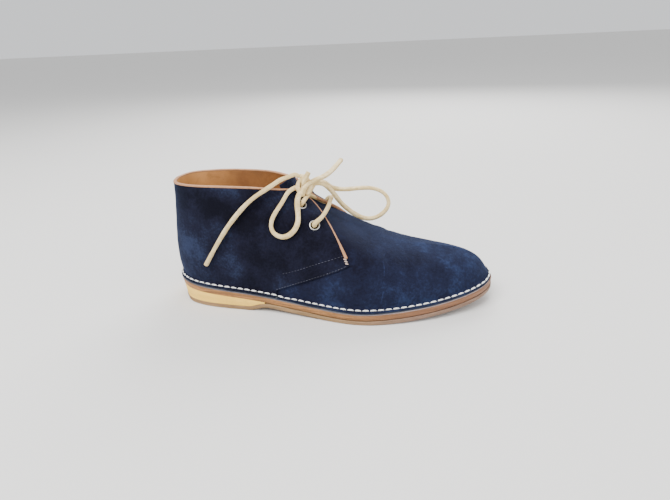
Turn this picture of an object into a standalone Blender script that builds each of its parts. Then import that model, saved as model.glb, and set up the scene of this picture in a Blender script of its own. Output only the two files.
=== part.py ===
"""Chukka boot for the right foot: stitched-down suede upper on a layered sole.

Blender 4.5 script, metres, +Z up. The boot stands empty on its sole with its toe towards +X
and its inner side towards +Y. The origin is on the ground, at the middle of the boot's length
and width. Every size below is in millimetres, and place() turns it into metres. Lengths are
first measured forwards from the back of the heel, and widths from the heel-to-toe line.
"""

import math

import bmesh
import bpy
import numpy as np
from mathutils import Matrix

# ---------------------------------------------------------------- driving dimensions, in mm
LENGTH = 302.0            # sole, heel to toe
WIDTH_MIDDLE = -3.2       # middle of the sole's width, from the heel-to-toe line
WALL = 2.2                # suede upper with its lining
GAP = 0.3                 # clearance between pieces that touch
MIDSOLE = 5.0             # leather midsole
OUTSOLE = 4.7             # outsole
INSOLE = 3.0              # footbed
TONGUE = 2.0              # tongue
HEEL_FLAT = 78.0          # end of the heel's flat spot
ARCH_JOIN = 102.0         # where the outsole meets the midsole again
WEDGE_END = 96.5          # tip of the heel wedge
WEDGE_INSET = 0.4         # heel wedge, behind the sole's edge
MIDSOLE_INSET = 0.3       # midsole, behind the sole's edge
EYELET_HOLE = 2.7         # eyelet, inner radius
EYELET_BARREL = 3.1       # eyelet, outer radius of its barrel
EYELET_RIM = 4.7          # eyelet, rim radius
RIM_LIFT = 0.8            # underside of the rim above the suede's middle point
RIM_TOP = 1.5             # and its top
BRIM_INSET = 0.6          # flange, behind the sole's edge
LACE = 4.2                # lace thickness
LACE_STEP = 7.0           # spacing of points along the loops and ends
BAR_STEP = 5.0            # and along the bars
BAR_HEIGHTS = (-1.0, 0.9, 3.4)  # places of a bar in its eyelet, above the suede
STACK = OUTSOLE + MIDSOLE + 2 * GAP

LATERAL, MEDIAL = -1, 1

# Sole edge in plan, heel to toe on the outer side, then toe to heel on the inner side.
#                  x      y
OUTER_EDGE = [(0.0, 1.0), (4.5, -13.5), (19.0, -28.0), (45.0, -36.5), (80.0, -40.0),
              (115.0, -44.5), (150.0, -51.0), (185.0, -56.5), (215.0, -52.5),
              (245.0, -43.5), (272.0, -31.0), (292.0, -15.5)]
INNER_EDGE = [(302.0, 7.0), (299.0, 20.0), (290.0, 31.0), (272.0, 40.5), (250.0, 46.5),
              (222.0, 50.0), (195.0, 48.0), (165.0, 41.0), (130.0, 34.0), (95.0, 32.5),
              (60.0, 35.5), (32.0, 34.5), (12.0, 24.5), (2.5, 13.0)]

# Height of the midsole's top face: heel lift, arch, ball and toe spring.
#              x     z
SEAT = [(0.0, 21.8), (40.0, 19.6), (85.0, 16.6), (130.0, 12.3), (170.0, 10.1),
        (210.0, 11.0), (255.0, 14.7), (302.0, 21.8)]

# Width of the turned-out flange, along the share of the way from heel to toe.
#              share width
FLANGE = [(0.0, 3.6), (0.12, 4.6), (0.30, 5.0), (0.62, 5.4), (0.85, 4.6), (1.0, 3.6)]

# Top line of the upper: the collar from its back to its front, then down beside the throat
# to the ridge, where the two sides join. y_out and y_in are its places on the outer and inner
# side.
#            share     x   y_out   y_in      z
TOP_LINE = [(0.00,  10.5,   2.0,   2.0, 115.5),
            (0.05,  15.0, -13.5,  17.5, 115.6),
            (0.12,  32.0, -24.0,  28.0, 115.4),
            (0.20,  54.0, -27.0,  32.0, 115.2),
            (0.28,  76.0, -27.0,  32.0, 114.6),
            (0.36,  98.0, -24.5,  30.0, 113.0),
            (0.42, 114.5, -18.0,  24.5, 110.2),
            (0.47, 124.6,  -9.6,  17.2, 107.2),
            (0.50, 129.8,  -4.6,  12.8, 103.4),
            (0.53, 134.8,  -0.6,   9.4,  98.9),
            (0.57, 142.5,   3.2,   6.6,  92.3),
            (0.61, 151.3,   5.2,   5.7,  85.5),
            (0.66, 165.0,   6.0,   6.0,  76.0),
            (0.76, 198.0,   7.0,   7.0,  58.8),
            (0.86, 230.0,   8.0,   8.0,  51.8),
            (0.94, 253.0,   9.0,   9.0,  49.5),
            (1.00, 266.0,  10.0,  10.0,  47.4)]

# How the wall leaves the crease and reaches the top line. lean is the outward slope at the
# crease, low and high are the reaches of the two ends, across turns the upper end from
# upright (0) to level (1), and fan turns it towards the toe, in degrees.
#          share  lean   low  high across  fan
SECTIONS = [(0.00, 0.22, 0.32, 0.30, 0.00,  0),
            (0.10, 0.18, 0.32, 0.30, 0.00,  0),
            (0.25, 0.04, 0.32, 0.35, 0.00,  0),
            (0.40, 0.00, 0.38, 0.34, 0.22,  0),
            (0.50, 0.00, 0.44, 0.30, 0.70,  0),
            (0.58, 0.00, 0.47, 0.37, 1.00,  0),
            (0.66, 0.02, 0.50, 0.47, 1.00,  0),
            (0.80, 0.00, 0.55, 0.53, 1.00,  8),
            (0.90, -.28, 0.62, 0.53, 1.00, 35),
            (1.00, -.45, 0.80, 0.52, 1.00, 90)]
RIDGE_SLOPE = 0.30        # fall of the toe's top where its sections fan out

# Facing, the free front edge of the quarter. Its steep part rises from the foot of the
# throat, and its upper part runs on beside the ridge to the collar. rise is the share of the
# wall's height, and share is how far forward the edge stands there.
#            rise   share
FACING = [(0.370, 0.599), (0.50, 0.604), (0.62, 0.607), (0.75, 0.605), (0.857, 0.591)]
#                   share   rise
UPPER_FACING = [(0.475, 1.000), (0.525, 0.985), (0.567, 0.927), (0.591, 0.857)]
THROAT_SHARE = 0.665      # front of the throat on the ridge
RIDGE_SHARE = 0.62        # where the two sides join

# Side edge of the tongue under the quarter, from its foot upwards.
#                  rise share
TONGUE_EDGE = [(0.32, 0.585), (0.48, 0.548), (0.62, 0.514), (0.78, 0.478), (0.90, 0.452)]
TONGUE_BASE = 0.692       # front of the tongue on the ridge
TONGUE_BEND = 0.622       # where its free top begins, on the ridge

TONGUE_MIDDLE = 4.0       # place of its top's middle across the boot
TONGUE_UNDER = 0.45       # its clearance below the vamp, and the added clearance at its top
TONGUE_DROP = 1.0

# Top edge of the tongue, from its middle (0) to its corners (1).
#              out      x  half-width      z
TONGUE_TOP = [(0.0, 121.5,        0.0, 116.5),
              (0.5, 119.3,       10.0, 115.6),
              (1.0, 113.0,       17.5, 112.4)]

# Eyelets on each side: share forward and share of the wall's height.
EYELETS = {"upper": (0.501, 0.846), "lower": (0.536, 0.653)}

# Knot of the bow: centre and half sizes.
KNOT = (132.5, -8.0, 110.2)
KNOT_HALF = (6.3, 5.2, 6.4)

# Middle lines of the lace, x, y and z. The bars arch over the throat, from the outer eyelet
# to the inner one of the same level.
BAR_LOWER = [
    (148.5, -28.8, 86.2), (150.9, -21.2, 87.3), (152.1, -12.5, 88.3), (152.7, -4.0, 89.3),
    (152.9, 4.0, 90.4), (152.8, 12.0, 90.9), (152.4, 19.0, 90.4), (150.8, 26.0, 88.9),
    (147.8, 31.6, 86.6)]
BAR_UPPER = [
    (135.1, -14.5, 100.7), (135.5, -5.0, 101.4), (135.6, 3.5, 101.9), (135.8, 12.0, 102.3),
    (135.5, 20.5, 101.6)]
# The outer loop hangs down the quarter, and the front loop leans over the vamp. The outer end
# crosses the collar and hangs towards the heel, and the inner end stands off forwards.
LOOP_OUTER = [
    (126.6, -11.4, 110.0), (121.6, -17.8, 107.9), (117.0, -24.2, 101.0), (112.2, -28.8, 94.1),
    (108.6, -31.0, 87.9), (107.3, -32.5, 82.3), (108.7, -33.9, 77.0), (113.5, -35.1, 73.5),
    (119.3, -35.7, 73.1), (124.7, -35.5, 75.7), (128.9, -34.0, 80.2), (130.9, -31.8, 85.0),
    (131.0, -28.9, 90.2), (130.0, -24.9, 96.2), (129.4, -20.5, 101.6), (131.2, -13.2, 106.8)]
LOOP_FRONT = [
    (135.3, -1.4, 108.3), (139.5, 1.2, 109.6), (144.0, 5.0, 110.2), (148.6, 11.0, 107.6),
    (153.4, 17.3, 101.6), (160.0, 22.6, 98.2), (171.4, 28.0, 96.9), (184.3, 31.0, 97.0),
    (195.6, 32.0, 94.7), (203.6, 31.0, 88.6), (205.5, 29.0, 81.9), (202.1, 26.0, 75.5),
    (196.1, 24.0, 71.1), (187.4, 22.0, 69.3), (178.8, 20.0, 71.9), (170.5, 17.0, 78.4),
    (162.6, 14.0, 87.0), (157.8, 10.0, 95.7), (153.0, 5.0, 104.2), (147.9, 0.2, 109.6),
    (143.2, -3.2, 111.2), (139.6, -4.2, 110.8)]
END_OUTER = [
    (129.3, -6.9, 118.1), (126.6, -6.9, 120.0), (121.4, -9.0, 119.2), (114.8, -15.4, 117.8),
    (108.5, -23.0, 114.9), (101.3, -28.2, 111.0), (92.3, -30.2, 105.2), (79.1, -31.6, 93.2),
    (67.2, -32.5, 79.5), (57.1, -33.8, 65.5), (49.0, -34.7, 53.3), (42.5, -34.7, 43.2)]
END_INNER = [
    (139.2, -8.7, 113.5), (142.7, -7.0, 114.9), (149.2, 2.0, 116.0), (155.8, 17.0, 119.0),
    (160.9, 34.0, 123.4)]


# ---------------------------------------------------------------- curves and surfaces
def spline(knots, values, at, closed=False):
    """Cubic spline through values at knots, with natural or joined-up ends."""
    knots = np.asarray(knots, float)
    values = np.asarray(values, float).reshape(len(knots), -1)
    count = len(knots)
    step = np.diff(knots)
    matrix = np.zeros((count, count))
    right = np.zeros_like(values)
    for i in range(1, count - 1):
        matrix[i, i - 1:i + 2] = step[i - 1], 2 * (step[i - 1] + step[i]), step[i]
        right[i] = 6 * ((values[i + 1] - values[i]) / step[i]
                        - (values[i] - values[i - 1]) / step[i - 1])
    if closed:
        matrix[0, [0, -1]] = 1, -1
        matrix[-1, [0, 1]] = 2 * step[0], step[0]
        matrix[-1, [-1, -2]] = 2 * step[-1], step[-1]
        right[-1] = 6 * ((values[1] - values[0]) / step[0]
                         - (values[-1] - values[-2]) / step[-1])
    else:
        matrix[0, 0] = matrix[-1, -1] = 1
    bend = np.linalg.solve(matrix, right)
    at = np.clip(np.asarray(at, float), knots[0], knots[-1])
    i = np.clip(np.searchsorted(knots, at, side="right") - 1, 0, count - 2)
    a = ((knots[i + 1] - at) / step[i])[..., None]
    b = ((at - knots[i]) / step[i])[..., None]
    sixth = (step[i] ** 2)[..., None] / 6
    curve = a * values[i] + b * values[i + 1]
    return curve + ((a ** 3 - a) * bend[i] + (b ** 3 - b) * bend[i + 1]) * sixth


def table(rows, at):
    """Spline through a table whose first column is the knot; one column comes back flat."""
    rows = np.asarray(rows, float)
    out = spline(rows[:, 0], rows[:, 1:], at)
    return out[..., 0] if rows.shape[1] == 2 else out


def unit(vectors):
    return vectors / np.linalg.norm(vectors, axis=-1, keepdims=True)


def ease(low, high, x):
    """Smooth step from 0 at low to 1 at high."""
    t = np.clip((np.asarray(x, float) - low) / (high - low), 0, 1)
    return t * t * (3 - 2 * t)


def seat(x):
    return table(SEAT, x)


class SoleEdge:
    """The sole's outline in plan, with its outward direction and its arc length."""

    def __init__(self, fine=1440):
        loop = np.array(OUTER_EDGE + INNER_EDGE + OUTER_EDGE[:1], float)
        chord = np.hypot(*np.diff(loop, axis=0).T)
        knots = np.append(0, np.cumsum(chord))
        self.points = spline(knots, loop, np.linspace(0, knots[-1], fine + 1), closed=True)
        leg = np.hypot(*np.diff(self.points, axis=0).T)
        self.arc = np.append(0, np.cumsum(leg))
        ahead = np.roll(self.points[:-1], -1, axis=0)
        behind = np.roll(self.points[:-1], 1, axis=0)
        along = unit(ahead - behind)
        outward = np.stack([along[:, 1], -along[:, 0]], -1)
        self.outward = np.vstack([outward, outward[:1]])
        self.toe = self.arc[np.argmax(self.points[:, 0])]

    def at(self, share, side, inset):
        """Points and outward directions at a share of the way from heel to toe."""
        share = np.asarray(share, float)
        total = self.arc[-1]
        if side == LATERAL:
            where = share * self.toe
        else:
            where = total - share * (total - self.toe)
        point = [np.interp(where, self.arc, self.points[:, k]) for k in (0, 1)]
        out = [np.interp(where, self.arc, self.outward[:, k]) for k in (0, 1)]
        out = unit(np.stack(out, -1))
        return np.stack(point, -1) - out * np.asarray(inset, float)[..., None], out

    def across(self, x, share_inset):
        """Both sides' y at each x, for an outline set in by share_inset(share)."""
        share = np.linspace(0, 1, 721)
        sides = []
        for side in (LATERAL, MEDIAL):
            line, _ = self.at(share, side, share_inset(share))
            sides.append(np.interp(x, line[:, 0], line[:, 1]))
        return sides

    def ends(self, share_inset):
        """First and last x of an outline set in by share_inset(share)."""
        share = np.linspace(0, 1, 721)
        line, _ = self.at(share, LATERAL, share_inset(share))
        return line[0, 0], line[-1, 0]


EDGE = SoleEdge()


def flange(share):
    return table(FLANGE, share)


def crease(share, side):
    """Line where the wall turns out into the flange, on the flange's top face."""
    plan, out = EDGE.at(share, side, flange(share))
    height = seat(plan[..., 0]) + WALL
    return np.concatenate([plan, height[..., None]], -1), out


def top_line(share, side):
    """Collar and ridge; both sides share the ridge."""
    x, y_out, y_in, z = np.moveaxis(table(TOP_LINE, share), -1, 0)
    y = y_out if side == LATERAL else y_in
    return np.stack([x, np.where(share < RIDGE_SHARE, y, (y_out + y_in) / 2), z], -1)


def skin(share, rise, side):
    """Outer surface of the upper, as on the last it was drawn over.

    share runs from the heel (0) to the toe (1), and rise from the crease (0) to the top
    line (1). Each section is one cubic curve between the two lines, whose lean at the foot
    and reach at the top come from SECTIONS.
    """
    share, rise = np.broadcast_arrays(np.asarray(share, float), np.asarray(rise, float))
    foot, out = crease(share, side)
    top = top_line(share, side)
    lean, low, high, across, fan = np.moveaxis(table(SECTIONS, share), -1, 0)
    outward = np.concatenate([out, np.zeros_like(out[..., :1])], -1)
    upright = np.zeros_like(outward) + (0, 0, 1)
    span = np.linalg.norm(top - foot, axis=-1)
    height = top[..., 2] - foot[..., 2]
    lower = foot + (low * height)[..., None] * (upright + lean[..., None] * outward)
    fan = np.radians(fan)
    level = np.stack([np.sin(fan), side * np.cos(fan), -RIDGE_SLOPE * np.sin(fan)], -1)
    across = np.clip(across, 0, 1)[..., None]
    upper = top + (high * span)[..., None] * unit(across * level - (1 - across) * upright)
    t = rise[..., None]
    return ((1 - t) ** 3 * foot + 3 * t * (1 - t) ** 2 * lower
            + 3 * t * t * (1 - t) * upper + t ** 3 * top)


def skin_normal(share, rise, side, reach=0.004):
    """Outward direction of the skin, from its two parameter directions."""
    share, rise = np.broadcast_arrays(np.asarray(share, float), np.asarray(rise, float))
    back, ahead = np.clip(share - reach, 0, 1), np.clip(share + reach, 0, 1)
    below, above = np.clip(rise - reach, 0, 1), np.clip(rise + reach, 0, 1)
    along = skin(ahead, rise, side) - skin(back, rise, side)
    up = skin(share, above, side) - skin(share, below, side)
    return unit(np.cross(along, up)) * -side


def under_skin(share, rise, side, depth):
    """Points at a depth below the skin."""
    normal = skin_normal(share, rise, side)
    middle = (np.asarray(share) > RIDGE_SHARE) & (np.asarray(rise) > 0.999)
    normal = np.where(middle[..., None], unit(normal * (1, 0, 1)), normal)
    return skin(share, rise, side) - normal * np.asarray(depth)[..., None]


# ---------------------------------------------------------------- scene helpers
def clear_scene():
    for thing in list(bpy.data.objects):
        bpy.data.objects.remove(thing, do_unlink=True)


def material(name, colour, roughness, metallic=0.0):
    finish = bpy.data.materials.new(name)
    finish.use_nodes = True
    shader = finish.node_tree.nodes["Principled BSDF"]
    shader.inputs["Base Color"].default_value = (*colour, 1)
    shader.inputs["Roughness"].default_value = roughness
    shader.inputs["Metallic"].default_value = metallic
    finish.diffuse_color = (*colour, 1)
    return finish


def place(points):
    """Millimetres from the heel and the heel-to-toe line, to metres in the boot's frame."""
    points = np.asarray(points, float)
    return (points - (LENGTH / 2, WIDTH_MIDDLE, 0)) / 1000


def add_object(name, data, finish):
    thing = bpy.data.objects.new(name, data)
    bpy.context.scene.collection.objects.link(thing)
    data.materials.append(finish)
    return thing


def add_mesh(name, points, faces, finish, solid):
    """Mesh object from points in metres; doubles are merged, and a solid is turned outwards."""
    mesh = bpy.data.meshes.new(name)
    mesh.from_pydata(points.tolist(), [], faces)
    work = bmesh.new()
    work.from_mesh(mesh)
    bmesh.ops.remove_doubles(work, verts=work.verts, dist=0.00002)
    bmesh.ops.dissolve_degenerate(work, dist=0.00001, edges=work.edges)
    if solid:
        bmesh.ops.recalc_face_normals(work, faces=work.faces)
    work.to_mesh(mesh)
    work.free()
    mesh.shade_smooth()
    mesh.set_sharp_from_angle(angle=math.radians(40))
    return add_object(name, mesh, finish)


def add_wall(thing, thickness):
    """Give a sheet its thickness, inwards from its outer face."""
    wall = thing.modifiers.new("wall", "SOLIDIFY")
    wall.thickness = thickness / 1000
    wall.offset = -1
    wall.use_even_offset = True
    wall.use_quality_normals = True


class Sheet:
    """Points and faces of a surface made of several grids."""

    def __init__(self):
        self.points = []
        self.faces = []
        self.count = 0

    def add_grid(self, grid, flip):
        rows, columns = grid.shape[:2]
        self.points.append(grid.reshape(-1, 3))
        index = np.arange(rows * columns).reshape(rows, columns) + self.count
        faces = np.stack([index[:-1, :-1], index[:-1, 1:], index[1:, 1:], index[1:, :-1]], -1)
        faces = faces.reshape(-1, 4)
        self.faces += (faces[:, ::-1] if flip else faces).tolist()
        self.count += rows * columns

    def build(self, name, finish, solid=True, placed=True):
        points = np.concatenate(self.points)
        points = place(points) if placed else points / 1000
        return add_mesh(name, points, self.faces, finish, solid)


# ---------------------------------------------------------------- sole
def tread(x):
    """Height of the outsole's lower face before it is worn flat on the ground."""
    return (seat(x) - STACK) * np.where(x < ARCH_JOIN, ease(HEEL_FLAT, ARCH_JOIN, x), 1)


def stations(first, last, end):
    """Places of the sole's sections: shared ones along it, and closer ones round its ends."""
    turn = np.linspace(0, math.pi / 2, 8)
    shared = np.arange(28, 276, 4.0)
    if end is not None:
        shared = np.append(shared[shared < end - 1], end)
        return np.append(first + (26 - first) * (1 - np.cos(turn)), shared)
    heel = first + (26 - first) * (1 - np.cos(turn))
    toe = last - (last - 276) * (1 - np.cos(turn[::-1]))
    return np.concatenate([heel, shared, toe])


def add_slab(name, inset, lower, upper, finish, end=None):
    """Layer with the sole's outline; lower(x) and upper(x) are its faces."""
    first, last = EDGE.ends(inset)
    x = stations(first, last, end)
    outer, inner = EDGE.across(x, inset)
    ends = [0] if end is not None else [0, -1]
    for i in ends:
        inner[i] = outer[i]
    sheet = Sheet()
    low = np.stack([np.stack([x, y, lower(x)], -1) for y in (outer, inner)])
    high = np.stack([np.stack([x, y, upper(x)], -1) for y in (outer, inner)])
    sheet.add_grid(low, True)
    sheet.add_grid(high, False)
    sheet.add_grid(np.stack([low[0], high[0]]), False)
    sheet.add_grid(np.stack([low[1], high[1]]), True)
    if end is not None:
        sheet.add_grid(np.stack([low[:, -1], high[:, -1]]), False)
    return sheet.build(name, finish)


def even(amount):
    return lambda share: np.full_like(share, amount)


def build_sole(finishes):
    add_slab("outsole", even(0.0), lambda x: np.maximum(tread(x), 0),
             lambda x: tread(x) + OUTSOLE, finishes["outsole"])
    add_slab("heel_wedge", even(WEDGE_INSET), lambda x: tread(x) + OUTSOLE + GAP,
             lambda x: seat(x) - MIDSOLE - 2 * GAP, finishes["wedge"],
             end=WEDGE_END)
    add_slab("midsole", even(MIDSOLE_INSET), lambda x: seat(x) - MIDSOLE - GAP,
             lambda x: seat(x) - GAP, finishes["midsole"])
    add_slab("insole", lambda share: flange(share) + WALL + 4 * GAP, seat,
             lambda x: seat(x) + INSOLE, finishes["lining"])


# ---------------------------------------------------------------- upper
def upper_grids(side):
    """Skirt, quarter, vamp and flange of one side, as grids over the skin."""
    corner_rise, corner = FACING[0]
    turn = np.linspace(0, math.pi / 2, 6)
    throat = corner + (THROAT_SHARE - corner) * np.sin(turn)
    front = np.append(throat, np.linspace(THROAT_SHARE, 1, 15)[1:])
    back = np.linspace(0, 1, 22)
    foot = np.append(back * corner, front[1:])
    skirt = skin(foot, np.linspace(0, corner_rise, 7)[:, None], side)

    row = np.linspace(0, 1, 9)[:, None]
    collar, _ = UPPER_FACING[0]
    tip, tip_rise = UPPER_FACING[-1]
    brow = np.linspace(collar, tip, 7)[1:]
    rim = np.linspace(0, collar, 16)
    top_share = np.append(rim, brow)
    top_rise = np.append(np.ones_like(rim), table(UPPER_FACING, brow))
    swell = table(FACING, corner_rise + (tip_rise - corner_rise) * row) \
        - (corner + (tip - corner) * row)
    share = back * corner + (top_share - back * corner) * row + swell * back ** 2
    quarter = skin(share, corner_rise + (top_rise - corner_rise) * row, side)

    edge = np.ones_like(front)
    edge[:6] = corner_rise + (1 - corner_rise) * (1 - np.cos(turn))
    vamp = skin(front, corner_rise + (edge - corner_rise) * row, side)

    inside, _ = crease(foot, side)
    plan, _ = EDGE.at(foot, side, np.full_like(foot, BRIM_INSET))
    outside = np.concatenate([plan, (seat(plan[:, 0]) + WALL)[:, None]], -1)
    brim = np.stack([outside, (inside + outside) / 2, inside])
    return skirt, quarter, vamp, brim


def eyelet_frame(side, spot):
    """Centre on the skin, and the direction out of it."""
    share, rise = spot
    centre = skin(share, rise, side)
    return centre, skin_normal(share, rise, side)


def stand_on(thing, centre, axis):
    """Put an object's origin at a point, with its own Z along an axis."""
    first = unit(np.cross((0.0, 1.0, 0.0), axis))
    second = np.cross(axis, first)
    rows = np.column_stack([first, second, axis, place(centre)])
    thing.matrix_world = Matrix([*rows.tolist(), (0, 0, 0, 1)])


def build_upper(finishes):
    sheet = Sheet()
    for side in (LATERAL, MEDIAL):
        for grid in upper_grids(side):
            sheet.add_grid(grid, side == MEDIAL)
    upper = sheet.build("upper", finishes["suede"], solid=False)
    add_wall(upper, WALL)

    for side, label in ((LATERAL, "outer"), (MEDIAL, "inner")):
        for level, spot in EYELETS.items():
            centre, axis = eyelet_frame(side, spot)
            work = bmesh.new()
            radius = (EYELET_BARREL + GAP) / 1000
            bmesh.ops.create_cone(work, cap_ends=True, segments=16, radius1=radius,
                                  radius2=radius, depth=5 * WALL / 1000)
            mesh = bpy.data.meshes.new("punch")
            work.to_mesh(mesh)
            work.free()
            punch = bpy.data.objects.new(f"punch_{label}_{level}", mesh)
            bpy.context.scene.collection.objects.link(punch)
            stand_on(punch, centre, axis)
            punch.hide_render = True
            punch.display_type = "WIRE"
            cut = upper.modifiers.new("eyelet hole", "BOOLEAN")
            cut.operation = "DIFFERENCE"
            cut.object = punch


def build_eyelets(finishes):
    """Flanged tubes in the quarters, turned from one profile."""
    bore, barrel, rim, soft = EYELET_HOLE, EYELET_BARREL, EYELET_RIM, 0.4
    profile = [(bore, -WALL), (barrel, -WALL), (barrel, RIM_LIFT), (rim, RIM_LIFT),
               (rim - soft, RIM_TOP), (bore + soft, RIM_TOP), (bore, RIM_TOP - soft)]
    turn = np.linspace(0, 2 * math.pi, 17)
    radius, height = np.array(profile + profile[:1]).T
    ring = np.stack([radius[:, None] * np.cos(turn), radius[:, None] * np.sin(turn),
                     height[:, None] + 0 * turn], -1)
    for side, label in ((LATERAL, "outer"), (MEDIAL, "inner")):
        for level, spot in EYELETS.items():
            centre, axis = eyelet_frame(side, spot)
            sheet = Sheet()
            sheet.add_grid(ring, False)
            eyelet = sheet.build(f"eyelet_{label}_{level}", finishes["eyelet"], placed=False)
            stand_on(eyelet, centre, axis)


def build_tongue(finishes):
    """Plate under the throat, from below the vamp's edge to above the collar."""
    along = np.linspace(0, 1, 11)[:, None]
    out = np.linspace(0, 1, 8)
    turn = (1 - out) * math.pi / 2
    foot_rise, free_rise = TONGUE_EDGE[0][0], TONGUE_EDGE[-1][0]
    edge_rise = foot_rise + (free_rise - foot_rise) * along
    edge_share = table(TONGUE_EDGE, edge_rise)
    ridge = TONGUE_BASE + (TONGUE_BEND - TONGUE_BASE) * along
    forward = np.sin(turn) + (1 - out - np.sin(turn)) * along
    upward = 1 - np.cos(turn) + (np.cos(turn) - out) * along
    share = edge_share + (ridge - edge_share) * forward
    rise = edge_rise + (1 - edge_rise) * upward
    depth = WALL + GAP + TONGUE_UNDER + TONGUE_DROP * along ** 2
    t = np.linspace(0, 1, 7)[1:, None, None]
    x, half_width, z = table(TONGUE_TOP, out).T
    sheet = Sheet()
    for side in (LATERAL, MEDIAL):
        grid = under_skin(share, rise, side, depth)
        top = np.stack([x, TONGUE_MIDDLE + side * half_width, z], -1)
        length = np.linalg.norm(top - grid[-1], axis=-1, keepdims=True)
        start = unit(grid[-1] - grid[-2]) * length
        end = length * (-0.2, 0, 1)
        free = ((2 * t ** 3 - 3 * t ** 2 + 1) * grid[-1] + (t ** 3 - 2 * t ** 2 + t) * start
                + (3 * t ** 2 - 2 * t ** 3) * top + (t ** 3 - t ** 2) * end)
        sheet.add_grid(np.concatenate([grid, free]), side == LATERAL)
    tongue = sheet.build("tongue", finishes["suede"], solid=False)
    add_wall(tongue, TONGUE)


# ---------------------------------------------------------------- lace
def add_lace(name, route, step, finish):
    """Round lace along a smooth line through a route, with a point about every step."""
    route = np.asarray(route, float)
    length = np.append(0, np.cumsum(np.linalg.norm(np.diff(route, axis=0), axis=1)))
    count = math.ceil(length[-1] / step) + 1
    line = place(spline(length, route, np.linspace(0, length[-1], count)))
    curve = bpy.data.curves.new(name, "CURVE")
    curve.dimensions = "3D"
    curve.bevel_depth = LACE / 2000
    curve.bevel_resolution = 2
    curve.use_fill_caps = True
    run = curve.splines.new("POLY")
    run.points.add(count - 1)
    run.points.foreach_set("co", np.column_stack([line, np.ones(count)]).ravel())
    return add_object(name, curve, finish)


def through_eyelet(side, level):
    """Middle line of the lace through an eyelet, from inside the boot outwards."""
    centre, axis = eyelet_frame(side, EYELETS[level])
    return [centre + height * axis for height in BAR_HEIGHTS]


def build_lace(finishes):
    finish = finishes["lace"]
    for level, middle in (("lower", BAR_LOWER), ("upper", BAR_UPPER)):
        outer = through_eyelet(LATERAL, level)
        inner = through_eyelet(MEDIAL, level)
        add_lace(f"lace_bar_{level}", outer + middle + inner[::-1], BAR_STEP, finish)
    for name, route in (("lace_loop_outer", LOOP_OUTER), ("lace_loop_front", LOOP_FRONT),
                        ("lace_end_outer", END_OUTER), ("lace_end_inner", END_INNER)):
        add_lace(name, route, LACE_STEP, finish)

    turn = np.linspace(0, 2 * math.pi, 17)
    tilt = np.linspace(-math.pi / 2, math.pi / 2, 9)[:, None]
    ball = np.stack([np.cos(tilt) * np.cos(turn), np.cos(tilt) * np.sin(turn),
                     np.sin(tilt) + 0 * turn], -1)
    sheet = Sheet()
    sheet.add_grid(ball * KNOT_HALF + KNOT, False)
    sheet.build("lace_knot", finish)


# ---------------------------------------------------------------- whole boot
def main():
    clear_scene()
    finishes = {
        "suede": material("navy_suede", (0.024, 0.042, 0.105), 0.95),
        "lining": material("tan_lining", (0.47, 0.22, 0.09), 0.6),
        "midsole": material("tan_leather", (0.50, 0.27, 0.14), 0.6),
        "outsole": material("brown_rubber", (0.42, 0.29, 0.19), 0.7),
        "wedge": material("cream_rubber", (0.85, 0.66, 0.36), 0.65),
        "eyelet": material("pale_metal", (0.62, 0.60, 0.57), 0.35, 1.0),
        "lace": material("rawhide_lace", (0.66, 0.56, 0.37), 0.75),
    }
    build_sole(finishes)
    build_upper(finishes)
    build_eyelets(finishes)
    build_tongue(finishes)
    build_lace(finishes)


main()
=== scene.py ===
"""Finish of a chukka boot for the right foot: suede upper, tan binding and lining, rawhide lace,
leather and rubber sole, with its stage and camera.

Laid out as a Blender add-on and run as a script. Every size in the tables is in millimetres:
x forwards from the back of the heel, y from the heel-to-toe line towards the inner side, z up
from the ground. framed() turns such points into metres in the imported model's frame.
"""

import math

import bmesh
import bpy
import numpy as np
from bpy.props import FloatProperty, FloatVectorProperty, PointerProperty
from mathutils import Matrix


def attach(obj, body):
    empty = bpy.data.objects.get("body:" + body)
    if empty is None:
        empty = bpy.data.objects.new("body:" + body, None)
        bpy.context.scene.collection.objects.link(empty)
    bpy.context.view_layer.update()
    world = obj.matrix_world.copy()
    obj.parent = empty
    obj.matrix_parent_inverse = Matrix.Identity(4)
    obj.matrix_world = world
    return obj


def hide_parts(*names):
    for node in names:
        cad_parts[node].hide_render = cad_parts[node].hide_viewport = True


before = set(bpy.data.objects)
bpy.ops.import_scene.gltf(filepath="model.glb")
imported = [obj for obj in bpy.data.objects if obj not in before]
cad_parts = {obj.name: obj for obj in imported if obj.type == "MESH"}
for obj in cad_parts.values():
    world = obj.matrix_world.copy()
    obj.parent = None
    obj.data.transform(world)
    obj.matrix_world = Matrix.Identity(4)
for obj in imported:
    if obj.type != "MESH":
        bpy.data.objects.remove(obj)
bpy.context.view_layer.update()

bl_info = {
    "name": "Chukka Boot Finish",
    "version": (1, 0, 0),
    "blender": (4, 5, 0),
    "location": "View3D > Sidebar > Boot",
    "description": "Builds the visible pieces and materials of a suede chukka boot",
    "category": "Add Mesh",
}

# ---------------------------------------------------------------- sizes shared with the solids, mm
LENGTH = 302.0
WIDTH_MIDDLE = -3.2       # y of the middle of the boot's whole width
WALL = 2.2                # thickness of the upper's solid
GAP = 0.3                 # air between two solids
MIDSOLE = 5.0             # thicknesses of the sole's layers
OUTSOLE = 4.7
INSOLE = 3.0
STACK = OUTSOLE + MIDSOLE + 2 * GAP
HEEL_FLAT = 78.0          # x where the heel's level tread ends
ARCH_JOIN = 102.0         # x from which the outsole lies against the midsole
WEDGE_END = 96.5          # x of the wedge's tip
WEDGE_INSET = 0.4         # set-backs from the sole's edge
MIDSOLE_INSET = 0.3
BRIM_INSET = 0.15
EYELET_RIM = 4.7          # outer radius of an eyelet
LACE = 4.2                # width of the lace
LATERAL, MEDIAL = -1, 1   # outer and inner side, as the sign of y

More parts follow.
